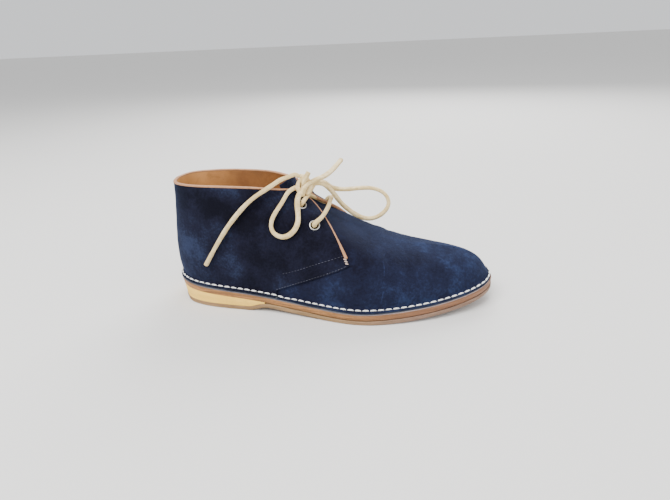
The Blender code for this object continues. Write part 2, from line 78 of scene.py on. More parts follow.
# Sole edge in plan, heel to toe on the outer side, then toe to heel on the inner side.
#                  x      y
OUTER_EDGE = [(0.0, 1.0), (4.5, -13.5), (19.0, -28.0), (45.0, -36.5), (80.0, -40.0),
              (115.0, -44.5), (150.0, -51.0), (185.0, -56.5), (215.0, -52.5),
              (245.0, -43.5), (272.0, -31.0), (292.0, -15.5)]
INNER_EDGE = [(302.0, 7.0), (299.0, 20.0), (290.0, 31.0), (272.0, 40.5), (250.0, 46.5),
              (222.0, 50.0), (195.0, 48.0), (165.0, 41.0), (130.0, 34.0), (95.0, 32.5),
              (60.0, 35.5), (32.0, 34.5), (12.0, 24.5), (2.5, 13.0)]

# Height of the midsole's top face.
#         x     z
SEAT = [(0.0, 21.8), (40.0, 19.6), (85.0, 16.6), (130.0, 12.3), (170.0, 10.1),
        (210.0, 11.0), (255.0, 14.7), (302.0, 21.8)]

# Width of the turned-out flange.
#          share width
FLANGE = [(0.0, 3.6), (0.12, 4.6), (0.30, 5.0), (0.62, 5.4), (0.85, 4.6), (1.0, 3.6)]

# Top line of the upper: the collar from its back to its front, then down beside the throat
# to the ridge, where the two sides join. y_out and y_in are its places on the outer and inner
# side.
#            share     x   y_out   y_in      z
TOP_LINE = [(0.00,  10.5,   2.0,   2.0, 115.5),
            (0.05,  15.0, -13.5,  17.5, 115.6),
            (0.12,  32.0, -24.0,  28.0, 115.4),
            (0.20,  54.0, -27.0,  32.0, 115.2),
            (0.28,  76.0, -27.0,  32.0, 114.6),
            (0.36,  98.0, -24.5,  30.0, 113.0),
            (0.42, 114.5, -18.0,  24.5, 110.2),
            (0.47, 124.6,  -9.6,  17.2, 107.2),
            (0.50, 129.8,  -4.6,  12.8, 103.4),
            (0.53, 134.8,  -0.6,   9.4,  98.9),
            (0.57, 142.5,   3.2,   6.6,  92.3),
            (0.61, 151.3,   5.2,   5.7,  85.5),
            (0.66, 165.0,   6.0,   6.0,  76.0),
            (0.76, 198.0,   7.0,   7.0,  58.8),
            (0.86, 230.0,   8.0,   8.0,  51.8),
            (0.94, 253.0,   9.0,   9.0,  49.5),
            (1.00, 266.0,  10.0,  10.0,  47.4)]

# How the wall leaves the crease and reaches the top line. lean is the outward slope at the
# crease, low and high are the reaches of the two ends, across turns the upper end from
# upright (0) to level (1), and fan turns it towards the toe, in degrees.
#          share  lean   low  high across  fan
SECTIONS = [(0.00, 0.22, 0.32, 0.30, 0.00,  0),
            (0.10, 0.18, 0.32, 0.30, 0.00,  0),
            (0.25, 0.04, 0.32, 0.35, 0.00,  0),
            (0.40, 0.00, 0.38, 0.34, 0.22,  0),
            (0.50, 0.00, 0.44, 0.30, 0.70,  0),
            (0.58, 0.00, 0.47, 0.37, 1.00,  0),
            (0.66, 0.02, 0.50, 0.47, 1.00,  0),
            (0.80, 0.00, 0.55, 0.53, 1.00,  8),
            (0.90, -.28, 0.62, 0.53, 1.00, 35),
            (1.00, -.45, 0.80, 0.52, 1.00, 90)]
RIDGE_SLOPE = 0.30        # fall of the toe's top where its sections fan out

# Facing, the free front edge of the quarter. Its steep part rises from the foot of the
# throat, and its upper part runs on beside the ridge to the collar. rise is the share of the
# wall's height, and share is how far forward the edge stands there.
#            rise   share
FACING = [(0.370, 0.599), (0.50, 0.604), (0.62, 0.607), (0.75, 0.605), (0.857, 0.591)]
#                   share   rise
UPPER_FACING = [(0.475, 1.000), (0.525, 0.985), (0.567, 0.927), (0.591, 0.857)]
THROAT_SHARE = 0.665      # front of the throat on the ridge
RIDGE_SHARE = 0.62        # where the two sides join

# Side edge of the tongue under the quarter, from its foot upwards.
#                  rise share
TONGUE_EDGE = [(0.32, 0.585), (0.48, 0.548), (0.62, 0.514), (0.78, 0.478), (0.90, 0.452)]
TONGUE_BEND = 0.622       # where its free top begins, on the ridge
TONGUE_MIDDLE = 4.0       # place of its top's middle across the boot
TONGUE_DROP = 1.0         # how much deeper it lies where its free top begins

# Top edge of the tongue, from its middle (0) to its corners (1).
#              out      x  half-width      z
TONGUE_TOP = [(0.0, 121.5,        0.0, 116.5),
              (0.5, 119.3,       10.0, 115.6),
              (1.0, 113.0,       17.5, 112.4)]

# Eyelets on each side: share forward and share of the wall's height.
EYELETS = {"upper": (0.501, 0.846), "lower": (0.536, 0.653)}

# Middle lines of the lace, x, y and z. The bars arch over the throat, from the outer eyelet
# to the inner one of the same level.
BAR_LOWER = [
    (148.5, -28.8, 86.2), (150.9, -21.2, 87.3), (152.1, -12.5, 88.3), (152.7, -4.0, 89.3),
    (152.9, 4.0, 90.4), (152.8, 12.0, 90.9), (152.4, 19.0, 90.4), (150.8, 26.0, 88.9),
    (147.8, 31.6, 86.6)]
BAR_UPPER = [
    (135.1, -14.5, 100.7), (135.5, -5.0, 101.4), (135.6, 3.5, 101.9), (135.8, 12.0, 102.3),
    (135.5, 20.5, 101.6)]
# The outer loop hangs down the quarter, and the front loop leans over the vamp. The outer end
# crosses the collar and hangs towards the heel, and the inner end stands off forwards.
LOOP_OUTER = [
    (126.6, -11.4, 110.0), (121.6, -17.8, 107.9), (117.0, -24.2, 101.0), (112.2, -28.8, 94.1),
    (108.6, -31.0, 87.9), (107.3, -32.5, 82.3), (108.7, -33.9, 77.0), (113.5, -35.1, 73.5),
    (119.3, -35.7, 73.1), (124.7, -35.5, 75.7), (128.9, -34.0, 80.2), (130.9, -31.8, 85.0),
    (131.0, -28.9, 90.2), (130.0, -24.9, 96.2), (129.4, -20.5, 101.6), (131.2, -13.2, 106.8)]
LOOP_FRONT = [
    (135.3, -1.4, 108.3), (139.5, 1.2, 109.6), (144.0, 5.0, 110.2), (148.6, 11.0, 107.6),
    (153.4, 17.3, 101.6), (160.0, 22.6, 98.2), (171.4, 28.0, 96.9), (184.3, 31.0, 97.0),
    (195.6, 32.0, 94.7), (203.6, 31.0, 88.6), (205.5, 29.0, 81.9), (202.1, 26.0, 75.5),
    (196.1, 24.0, 71.1), (187.4, 22.0, 69.3), (178.8, 20.0, 71.9), (170.5, 17.0, 78.4),
    (162.6, 14.0, 87.0), (157.8, 10.0, 95.7), (153.0, 5.0, 104.2), (147.9, 0.2, 109.6),
    (143.2, -3.2, 111.2), (139.6, -4.2, 110.8)]
END_OUTER = [
    (129.3, -6.9, 118.1), (126.6, -6.9, 120.0), (121.4, -9.0, 119.2), (114.8, -15.4, 117.8),
    (108.5, -23.0, 114.9), (101.3, -28.2, 111.0), (92.3, -30.2, 105.2), (79.1, -31.6, 93.2),
    (67.2, -32.5, 79.5), (57.1, -33.8, 65.5), (49.0, -34.7, 53.3), (42.5, -34.7, 43.2)]
END_INNER = [
    (139.2, -8.7, 113.5), (142.7, -7.0, 114.9), (149.2, 2.0, 116.0), (155.8, 17.0, 119.0),
    (160.9, 34.0, 123.4)]


# ---------------------------------------------------------------- sizes of the finish, mm
# x where the tread's ribs start and are full, then fade and end, under heel and forefoot.
RIB_FIELDS = ((8.0, 14.0, 48.0, 54.0), (112.0, 122.0, 284.0, 292.0))
RIB_BORDER = (5.0, 7.5)   # distances from the sole's edge between which they come up
RIB_BOW = 0.012           # how far a rib bends back, for each square mm of y
BRIM_ENDS = 1.2           # how much further back the flange stands at heel and toe
BRIM_FADE = 0.07          # share over which that fades
FOOT_RISE = 0.045         # where the wall leaves the fillet above the crease
QUARTER_LIFT = 0.4        # outer face of the quarter above the wall's middle form
QUARTER_THICK = 1.5
LINING_THICK = 1.05
LINING_GAP = 0.05         # between a quarter and its lining
VAMP_LINING_THICK = 0.6
VAMP_LINING_BACK = 0.315  # shares where the vamp's lining starts on the flange, meets the
VAMP_LINING_CORNER = 0.56     # throat's corner, and ends inside the toe
VAMP_LINING_END = 0.86
VAMP_LINING_GAP = 0.1     # below the vamp, and how much more of it there is in the toe
TOE_ROOM = 1.6
TOE_ROOM_FROM = (0.70, 0.82)
VAMP_SUNK = 1.2           # vamp under the quarter's edge
VAMP_THICK = 1.4
TONGUE_SUNK = 3.0         # tongue under the collar's line
OUTSOLE_SHOWN = 3.9       # outsole's edge, and the midsole's lower face below the seat
MIDSOLE_BASE = 5.7
PALE_BASE, PALE_TOP = 0.55, 0.25   # pale layer, below and above the seat
QUARTER_BASE = 1.15       # underside of the flange over the seat
JOINT = 0.06              # open line between the sole's layers
RIM_DEPTH = 4.2           # how far in from the sole's edge the thin rim layers reach
FOOTBED_SUNK = 0.6        # middle of the footbed's face, below the insole's full height
FOOTBED_DISH = 0.9        # and the rise of its sides
LAP = (9.0, 34.0)         # distances ahead of its edge between which the vamp rises to full height
LAP_STEP = 0.03           # share over which the flange steps down from quarter to vamp
FLANGE_FILLET = 2.6       # reach of the fillet over the flange, and the most of the flange's
FILLET_SHARE = 0.55       # width that it takes
FLANGE_LIP = 0.25         # rounding of the flange's free edge
SOFT_RIM = 0.3            # rounding of the suede's cut edges
SEAM_TROUGH = (0.55, 1.1)     # depth and half-width of the back seam
WORKED_TOP, WORKED_FOOT = 0.07, 0.12   # rises over which the hide's unevenness fades
UNDERCUT = 0.2            # set-back of the heel's sole for each mm of depth, and the shares
UNDERCUT_FADE = (0.02, 0.11)  # between which it fades
EYELET_ROLL = 0.62        # half the width of an eyelet's rolled rim
EYELET_SHEET = 0.25       # thickness of its metal
EYELET_ROOM = 0.3         # play of its barrel in the suede's hole
BINDING_SIZES = (0.95, 0.22)  # the binding's reach over the edge and beyond each face
BINDING_FULL = (0.55, 0.12)   # added to them at the throat's corners
BINDING_FADE = (6.0, 42.0)    # distances from the corners over which that fades
BINDING_INSET = 0.3           # how far its middle stands in from the edge
BINDING_CORNER = 2.4          # squareness of its section: 2 is round, and more is squarer
STITCH_OUT = 2.7          # flange stitches: from the crease, and over the flange
STITCH_LIFT = 0.75
STITCH_FOLLOW = 1.05      # and how closely they follow the flange's set-back
STITCH_SUNK = 0.35        # how deep a stitch's ends lie, and its bow's height, in threads
STITCH_BOW = 0.55
BAR_STITCH = (3.3, 1.15)  # length and thickness of a bar tack

# Rough size of the wall along its share and its rise.
SCALE = (330.0, 85.0)

# Lower edge of the quarter over the vamp, from the flange to the throat's corner.
#        rise   share
SEAM = [(0.045, 0.362), (0.138, 0.422), (0.240, 0.507), (0.294, 0.551), (0.352, 0.590),
        (0.370, 0.599)]
# Stitch rows of the quarter: the lower one's inset from that edge and the rises where it
# starts and stops, and the upper one, to the facing.
LOWER_ROW_INSET = 0.8
LOWER_ROW = (0.05, 0.36)
#             rise   share
UPPER_ROW = [(0.222, 0.386), (0.304, 0.467), (0.374, 0.540), (0.446, 0.597)]
BINDING_START = 0.425     # rise where the facing's binding ends above the throat's corner
BAR_RISES = (0.3800, 0.3975, 0.4150)   # rises of the bar tacks below it, and the shares that
BAR_SPAN = (-0.0085, 0.0015)           # they span about the facing's edge
# Edge of the vamp hidden under the quarter, then the start of the tongue.
TUCKED = [(0.045, 0.325), (0.138, 0.385), (0.320, 0.522), (0.375, 0.572)]


# ---------------------------------------------------------------- curves and surfaces
def spline(knots, values, at, closed=False):
    """Cubic spline through values at knots, with natural or joined-up ends.

    Its second derivative at each knot solves the usual tridiagonal system; between two knots
    the curve is their straight line plus the two cubic terms of those derivatives.
    """
    knots = np.asarray(knots, float)
    values = np.asarray(values, float).reshape(len(knots), -1)
    count = len(knots)
    step = np.diff(knots)
    matrix = np.zeros((count, count))
    right = np.zeros_like(values)
    for i in range(1, count - 1):
        matrix[i, i - 1:i + 2] = step[i - 1], 2 * (step[i - 1] + step[i]), step[i]
        right[i] = 6 * ((values[i + 1] - values[i]) / step[i]
                        - (values[i] - values[i - 1]) / step[i - 1])
    if closed:
        matrix[0, [0, -1]] = 1, -1
        matrix[-1, [0, 1]] = 2 * step[0], step[0]
        matrix[-1, [-1, -2]] = 2 * step[-1], step[-1]
        right[-1] = 6 * ((values[1] - values[0]) / step[0]
                         - (values[-1] - values[-2]) / step[-1])
    else:
        matrix[0, 0] = matrix[-1, -1] = 1
    bend = np.linalg.solve(matrix, right)
    at = np.clip(np.asarray(at, float), knots[0], knots[-1])
    i = np.clip(np.searchsorted(knots, at, side="right") - 1, 0, count - 2)
    a = ((knots[i + 1] - at) / step[i])[..., None]
    b = ((at - knots[i]) / step[i])[..., None]
    sixth = (step[i] ** 2)[..., None] / 6
    curve = a * values[i] + b * values[i + 1]
    return curve + ((a ** 3 - a) * bend[i] + (b ** 3 - b) * bend[i + 1]) * sixth


def table(rows, at):
    """Spline through a table whose first column is the knot; one column comes back flat."""
    rows = np.asarray(rows, float)
    out = spline(rows[:, 0], rows[:, 1:], at)
    return out[..., 0] if rows.shape[1] == 2 else out


def unit(vectors):
    return vectors / np.linalg.norm(vectors, axis=-1, keepdims=True)


def lengths(line):
    """Distance along a line of points, starting from 0."""
    return np.append(0, np.cumsum(np.linalg.norm(np.diff(line, axis=0), axis=1)))


def between(at, knots, rows):
    """Rows of points read off in straight lines at new places between their knots."""
    return np.stack([np.interp(at, knots, column) for column in rows.T], -1)


def upright_like(out):
    """Level directions given in plan, as 3-D ones, and the upright direction beside them."""
    outward = np.concatenate([out, np.zeros_like(out[..., :1])], -1)
    return outward, np.zeros_like(outward) + (0, 0, 1)


def ease(low, high, x):
    """Smooth step from 0 at low to 1 at high."""
    t = np.clip((np.asarray(x, float) - low) / (high - low), 0, 1)
    return t * t * (3 - 2 * t)


def seat(x):
    return table(SEAT, x)


class SoleEdge:
    """The sole's outline in plan, with its outward direction and its arc length."""

    def __init__(self):
        loop = np.array(OUTER_EDGE + INNER_EDGE + OUTER_EDGE[:1], float)
        knots = lengths(loop)
        self.points = spline(knots, loop, np.linspace(0, knots[-1], 1441), closed=True)
        self.arc = lengths(self.points)
        ahead = np.roll(self.points[:-1], -1, axis=0)
        behind = np.roll(self.points[:-1], 1, axis=0)
        along = unit(ahead - behind)
        outward = np.stack([along[:, 1], -along[:, 0]], -1)
        self.outward = np.vstack([outward, outward[:1]])
        self.toe = self.arc[np.argmax(self.points[:, 0])]

    def at(self, share, side, inset):
        """Points and outward directions at a share of the way from heel to toe."""
        share = np.asarray(share, float)
        total = self.arc[-1]
        if side == LATERAL:
            where = share * self.toe
        else:
            where = total - share * (total - self.toe)
        out = unit(between(where, self.arc, self.outward))
        point = between(where, self.arc, self.points)
        return point - out * np.asarray(inset, float)[..., None], out


EDGE = SoleEdge()


def flange(share):
    return table(FLANGE, share)


def crease(share, side):
    """Line where the wall turns out into the flange, on the flange's top face, with the
    outward directions in plan."""
    plan, out = EDGE.at(share, side, flange(share))
    height = seat(plan[..., 0]) + WALL
    return np.concatenate([plan, height[..., None]], -1), out


def top_line(share, side):
    """Collar and ridge; both sides share the ridge."""
    x, y_out, y_in, z = np.moveaxis(table(TOP_LINE, share), -1, 0)
    y = y_out if side == LATERAL else y_in
    return np.stack([x, np.where(share < RIDGE_SHARE, y, (y_out + y_in) / 2), z], -1)


def skin(share, rise, side):
    """Outer surface of the upper, as on the last it was drawn over.

    share runs from the heel (0) to the toe (1), and rise from the crease (0) to the top
    line (1). Each section is one cubic curve between the two lines, whose lean at the foot
    and reach at the top come from SECTIONS.
    """
    share, rise = np.broadcast_arrays(np.asarray(share, float), np.asarray(rise, float))
    foot, out = crease(share, side)
    top = top_line(share, side)
    lean, low, high, across, fan = np.moveaxis(table(SECTIONS, share), -1, 0)
    outward, upright = upright_like(out)
    span = np.linalg.norm(top - foot, axis=-1)
    height = top[..., 2] - foot[..., 2]
    lower = foot + (low * height)[..., None] * (upright + lean[..., None] * outward)
    fan = np.radians(fan)
    level = np.stack([np.sin(fan), side * np.cos(fan), -RIDGE_SLOPE * np.sin(fan)], -1)
    across = np.clip(across, 0, 1)[..., None]
    upper = top + (high * span)[..., None] * unit(across * level - (1 - across) * upright)
    t = rise[..., None]
    return ((1 - t) ** 3 * foot + 3 * t * (1 - t) ** 2 * lower
            + 3 * t * t * (1 - t) * upper + t ** 3 * top)


def skin_normal(share, rise, side):
    """Outward direction of the skin, from its two parameter directions."""
    share, rise = np.broadcast_arrays(np.asarray(share, float), np.asarray(rise, float))
    step = 0.004
    back, ahead = np.clip(share - step, 0, 1), np.clip(share + step, 0, 1)
    below, above = np.clip(rise - step, 0, 1), np.clip(rise + step, 0, 1)
    along = skin(ahead, rise, side) - skin(back, rise, side)
    up = skin(share, above, side) - skin(share, below, side)
    return unit(np.cross(along, up)) * -side


def lifted(share, rise, side, lift):
    """Points above the skin by lift; on the ridge, both sides are lifted the same way."""
    normal = skin_normal(share, rise, side)
    ridge = (np.asarray(share) > RIDGE_SHARE) & (np.asarray(rise) > 0.999)
    normal = np.where(ridge[..., None], unit(normal * (1, 0, 1)), normal)
    return skin(share, rise, side) + normal * np.asarray(lift, float)[..., None]


# ---------------------------------------------------------------- shapes worked out on grids
def framed(points):
    """Millimetres from the heel and the heel-to-toe line, to metres in the model's frame."""
    return (np.asarray(points, float) - (LENGTH / 2, WIDTH_MIDDLE, 0)) / 1000


def path_of(rows, count):
    """Share and rise at even steps of the rise, from a table of rise and share."""
    rise = np.linspace(rows[0][0], rows[-1][0], count)
    return np.column_stack([table(rows, rise), rise])


def spaced(path, count):
    """A path of share and rise at even steps of its rough length in millimetres."""
    along = lengths(path * SCALE)
    return between(np.linspace(0, along[-1], count), along, path)


def coons(bottom, top, left, right):
    """Patch between four lines: the two blends of facing lines, less the blend of corners."""
    u = np.linspace(0, 1, len(bottom))[None, :, None]
    v = np.linspace(0, 1, len(left))[:, None, None]
    across = (1 - v) * bottom[None] + v * top[None]
    up = (1 - u) * left[:, None] + u * right[:, None]
    corners = ((1 - v) * ((1 - u) * bottom[0] + u * bottom[-1])
               + v * ((1 - u) * top[0] + u * top[-1]))
    return across + up - corners


def rotated_frames(line):
    """Directions along a line and two across it that don't twist.

    Each point first gets any direction across. The turn between that and the direction
    carried over from the point before is summed along the line and taken back out.
    """
    along = unit(np.gradient(line, axis=0))
    upright = np.where(np.abs(along[:, 2:]) < 0.8, (0.0, 0.0, 1.0), (1.0, 0.0, 0.0))
    first = unit(np.cross(upright, along))
    axis = np.cross(along[:-1], along[1:])
    cosine = np.sum(along[:-1] * along[1:], -1, keepdims=True)
    carried = (first[:-1] * cosine + np.cross(axis, first[:-1])
               + axis * np.sum(axis * first[:-1], -1, keepdims=True) / (1 + cosine))
    sine = np.sum(np.cross(carried, first[1:]) * along[1:], -1)
    turn = np.append(0, np.cumsum(np.arctan2(sine, np.sum(carried * first[1:], -1))))[:, None]
    second = np.cross(along, first)
    return (along, first * np.cos(turn) - second * np.sin(turn),
            second * np.cos(turn) + first * np.sin(turn))


def tube(line, half, corner, turn=0.0, frames=None):
    """Closed tube along a line; its section is |x|^corner + |y|^corner = 1, times half.

    half holds the section's two sizes, turn its twist and frames its directions, each for
    the whole line or for every point. Both ends close over three shrinking rings.
    """
    line = np.asarray(line, float)
    along, first, second = rotated_frames(line) if frames is None else frames
    turn = np.broadcast_to(turn, len(line))[:, None]
    first, second = (first * np.cos(turn) + second * np.sin(turn),
                     second * np.cos(turn) - first * np.sin(turn))
    angle = np.linspace(0, 2 * math.pi, 21)
    size = (np.abs(np.cos(angle)) ** corner + np.abs(np.sin(angle)) ** corner) ** (-1 / corner)
    half = np.broadcast_to(half, (len(line), 2))
    shrink = np.array([0.0, 0.72, 0.93, 1.0])
    sink = np.array([0.0, 0.0, 0.12, 0.32]) * half[0, 1]
    index = np.concatenate([[0] * 4, np.arange(1, len(line) - 1), [len(line) - 1] * 4])
    scale = np.concatenate([shrink, np.ones(len(line) - 2), shrink[::-1]])[:, None, None]
    slide = np.concatenate([sink, np.zeros(len(line) - 2), -sink[::-1]])[:, None, None]
    wide = half[index, 0][:, None, None] * (size * np.cos(angle))[:, None]
    thick = half[index, 1][:, None, None] * (size * np.sin(angle))[:, None]
    middle = line[index][:, None] + along[index][:, None] * slide
    return middle + scale * (wide * first[index][:, None] + thick * second[index][:, None])


def carried(line, across, upright, profile):
    """Profile carried along a line: column 0 of it goes across, column 1 upright."""
    profile = np.asarray(profile, float)
    return (line[:, None] + profile[None, :, :1] * across[:, None]
            + profile[None, :, 1:] * upright[:, None])


def stitch_run(line, upright, long, pitch, thick):
    """Stitches along a line, as grids: each is a bowed thread whose two ends go under.

    With t from -1 to 1 along a stitch, its middle line is the flat bow 1 - t^6 and its radius
    is (1 - |t|^2.6)^0.7 of the thread's. Every stitch is the same form, set at the line's
    point, direction and upright.
    """
    along = lengths(line)
    count = max(2, int(along[-1] / pitch))
    at = (np.arange(count) + 0.5) * along[-1] / count
    centre = between(at, along, line)
    ahead = unit(between(at, along, np.gradient(line, axis=0)))
    normal = between(at, along, upright)
    aside = unit(np.cross(normal, ahead))
    normal = np.cross(ahead, aside)
    step = np.linspace(-1, 1, 9)
    angle = np.linspace(0, 2 * math.pi, 7)
    radius = thick / 2 * (1 - np.abs(step) ** 2.6) ** 0.7
    bow = thick * ((1 - step ** 6) * STITCH_BOW - STITCH_SUNK)
    slide = (step * long / 2)[:, None] + 0 * angle
    height = bow[:, None] + radius[:, None] * np.sin(angle)
    width = radius[:, None] * np.cos(angle)
    parts = (slide[..., None] * ahead[:, None, None], width[..., None] * aside[:, None, None],
             height[..., None] * normal[:, None, None])
    return [(grid, False) for grid in centre[:, None, None] + sum(parts)]


# ---------------------------------------------------------------- meshes
def linked(name, data):
    """New object of some data, linked to the scene."""
    item = bpy.data.objects.new(name, data)
    bpy.context.scene.collection.objects.link(item)
    return item


def faces_of(grid, flip, start):
    rows, columns = grid.shape[:2]
    index = np.arange(rows * columns).reshape(rows, columns) + start
    faces = np.stack([index[:-1, :-1], index[:-1, 1:], index[1:, 1:], index[1:, :-1]], -1)
    faces = faces.reshape(-1, 4)
    return faces[:, ::-1] if flip else faces


def mesh_of(name, grids, weld, outward, marks=None):
    """Mesh object from grids of points, each given as (points, flip), welded where they meet.

    marks, where given, is a list of arrays, one number for each point of each grid, kept on
    the mesh as the attribute "mark".
    """
    points = np.concatenate([framed(grid).reshape(-1, 3) for grid, _ in grids])
    starts = np.append(0, np.cumsum([grid[..., 0].size for grid, _ in grids]))
    faces = np.concatenate([faces_of(grid, flip, start)
                            for (grid, flip), start in zip(grids, starts)])
    mesh = bpy.data.meshes.new(name)
    mesh.from_pydata(points.tolist(), [], faces.tolist())
    if marks is not None:
        mark = mesh.attributes.new("mark", "FLOAT", "POINT")
        mark.data.foreach_set("value", np.concatenate([m.ravel() for m in marks]))
    work = bmesh.new()
    work.from_mesh(mesh)
    bmesh.ops.remove_doubles(work, verts=work.verts, dist=weld)
    bmesh.ops.dissolve_degenerate(work, edges=work.edges, dist=weld / 2)
    if outward:
        bmesh.ops.recalc_face_normals(work, faces=work.faces)
    work.to_mesh(mesh)
    work.free()
    return linked(name, mesh)


def add_piece(name, grids, finish, stands_for=(), weld=2e-6, marks=None, outward=True):
    """Visible piece from grids, in a finish, in the place of the nodes it stands for."""
    piece = mesh_of(name, grids, weld, outward, marks)
    piece.data.shade_smooth()
    piece.data.materials.append(finish_of(finish))
    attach(piece, "root")
    if stands_for:
        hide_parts(*stands_for)
    return piece


def thicken(piece, thickness, round_edge=0.0):
    """Wall of an open sheet, laid under its outer face, with rounded rims."""
    wall = piece.modifiers.new("thickness", "SOLIDIFY")
    wall.thickness = thickness / 1000
    wall.offset = -1
    if round_edge:
        rim = piece.modifiers.new("rounded rim", "BEVEL")
        rim.width = round_edge / 1000
        rim.segments = 2
        rim.limit_method = "ANGLE"
        rim.angle_limit = math.radians(55)
    return piece


# ---------------------------------------------------------------- shader helpers
def feed(tree, socket, value):
    """Give an input its value: a link, a number, a vector, or a colour made opaque."""
    if isinstance(value, bpy.types.NodeSocket):
        tree.links.new(value, socket)
    elif socket.type == "RGBA":
        socket.default_value = (*value[:3], 1)
    else:
        socket.default_value = value


def put(tree, kind, options=None, **sockets):
    """Add a node with its options; sockets are its inputs by name."""
    node = tree.nodes.new(kind)
    for key, value in (options or {}).items():
        setattr(node, key, value)
    for key, value in sockets.items():
        feed(tree, node.inputs[key.replace("_", " ")], value)
    return node


def maths(tree, operation, *values):
    node = put(tree, "ShaderNodeMath", {"operation": operation})
    for socket, value in zip(node.inputs, values):
        feed(tree, socket, value)
    return node.outputs[0]


def summed(tree, first, weight, second, other):
    """first * weight + second * other."""
    return maths(tree, "MULTIPLY_ADD", first, weight, maths(tree, "MULTIPLY", second, other))


def tinted(tree, factor, low, high):
    """Colour between low and high by factor."""
    node = put(tree, "ShaderNodeMix", {"data_type": "RGBA"})
    for number, value in ((0, factor), (6, low), (7, high)):
        feed(tree, node.inputs[number], value)
    return node.outputs[2]


def darker(colour, share):
    return [share * part for part in colour]


def graded(tree, value, low, high, start=0.0, end=1.0):
    """Value carried from low..high to start..end along a smooth step."""
    return put(tree, "ShaderNodeMapRange", {"interpolation_type": "SMOOTHSTEP"},
               Value=value, From_Min=low, From_Max=high, To_Min=start, To_Max=end).outputs[0]


def noise(tree, vector, scale, detail=3.0, roughness=0.55, distortion=0.0):
    return put(tree, "ShaderNodeTexNoise", None, Vector=vector, Scale=scale, Detail=detail,
               Roughness=roughness, Distortion=distortion).outputs["Fac"]


def distance_to(tree, vector, place):
    """Distance of each point from a place in the model's frame."""
    node = put(tree, "ShaderNodeVectorMath", {"operation": "DISTANCE"}, Vector=vector)
    node.inputs[1].default_value = tuple(place)
    return node.outputs["Value"]


def forwards(tree, vector):
    """Each point's place along the boot."""
    return put(tree, "ShaderNodeSeparateXYZ", None, Vector=vector).outputs["X"]


def new_group(name, inputs, outputs):
    """Empty shader group with (name, kind, default) inputs and (name, kind) outputs."""
    tree = bpy.data.node_groups.new(name, "ShaderNodeTree")
    for label, kind, default in inputs:
        socket = tree.interface.new_socket(label, in_out="INPUT", socket_type=kind)
        if default is not None:
            socket.default_value = default
    for label, kind in outputs:
        tree.interface.new_socket(label, in_out="OUTPUT", socket_type=kind)
    return tree, tree.nodes.new("NodeGroupInput").outputs, tree.nodes.new("NodeGroupOutput").inputs


VALUE, VECTOR = "NodeSocketFloat", "NodeSocketVector"


def nap_group():
    """Brushed fibres: soft patches where the nap lies another way, tufts and single fibres."""
    tree, given, out = new_group(
        "Brushed nap", [("Vector", VECTOR, None), ("Patch Scale", VALUE, 45.0),
                        ("Tuft Scale", VALUE, 420.0)],
        [("Shade", VALUE), ("Height", VALUE)])
    vector = given["Vector"]
    patch = noise(tree, vector, given["Patch Scale"], 4.0, 0.6, 0.15)
    broad = noise(tree, vector, maths(tree, "MULTIPLY", given["Patch Scale"], 0.35), 2.0, 0.5)
    tuft = noise(tree, vector, given["Tuft Scale"], 3.0, 0.65, 0.3)
    fibre = noise(tree, vector, maths(tree, "MULTIPLY", given["Tuft Scale"], 4.5), 2.0, 0.6)
    soft = summed(tree, graded(tree, patch, 0.30, 0.72), 0.34,
                  graded(tree, broad, 0.34, 0.68), 0.24)
    fine = summed(tree, graded(tree, tuft, 0.30, 0.72), 0.22,
                  graded(tree, fibre, 0.28, 0.72), 0.20)
    tree.links.new(maths(tree, "ADD", soft, fine), out["Shade"])
    height = summed(tree, fibre, 0.45, tuft, 0.55)
    tree.links.new(maths(tree, "MULTIPLY_ADD", patch, 0.3, height), out["Height"])
    return tree


def grain_group():
    """Leather grain: cells with soft furrows between them, pores, and a cloudy tone."""
    tree, given, out = new_group(
        "Leather grain", [("Vector", VECTOR, None), ("Cell Scale", VALUE, 900.0)],
        [("Shade", VALUE), ("Height", VALUE)])
    vector = given["Vector"]
    cell = put(tree, "ShaderNodeTexVoronoi", {"feature": "DISTANCE_TO_EDGE"}, Vector=vector,
               Scale=given["Cell Scale"]).outputs["Distance"]
    cell = graded(tree, cell, 0.0, 0.25)
    pore = noise(tree, vector, maths(tree, "MULTIPLY", given["Cell Scale"], 2.2), 2.0)
    cloud = noise(tree, vector, maths(tree, "MULTIPLY", given["Cell Scale"], 0.07), 4.0, 0.6, 0.5)
    shade = summed(tree, graded(tree, cloud, 0.3, 0.7), 0.7, cell, 0.2)
    tree.links.new(maths(tree, "MULTIPLY_ADD", pore, 0.15, shade), out["Shade"])
    tree.links.new(maths(tree, "MULTIPLY_ADD", pore, 0.35, cell), out["Height"])
    return tree


def marks_group():
    """Handling marks: a mask of uneven smudges and specks, from 0 to the amount."""
    tree, given, out = new_group(
        "Handling marks", [("Vector", VECTOR, None), ("Smudge Scale", VALUE, 60.0),
                           ("Amount", VALUE, 0.5)], [("Mask", VALUE)])
    smudge = noise(tree, given["Vector"], given["Smudge Scale"], 5.0, 0.65, 0.8)
    speck = noise(tree, given["Vector"], maths(tree, "MULTIPLY", given["Smudge Scale"], 9.0), 3.0)
    mask = maths(tree, "MAXIMUM", graded(tree, smudge, 0.52, 0.74),
                 maths(tree, "MULTIPLY", graded(tree, speck, 0.62, 0.72), 0.6))
    tree.links.new(maths(tree, "MULTIPLY", mask, given["Amount"]), out["Mask"])
    return tree


GROUPS = {"Brushed nap": nap_group, "Leather grain": grain_group,
          "Handling marks": marks_group}


def placed(tree, name, **sockets):
    """A node group's node in a material, with its own values."""
    group = bpy.data.node_groups.get(name) or GROUPS[name]()
    return put(tree, "ShaderNodeGroup", {"node_tree": group}, **sockets).outputs


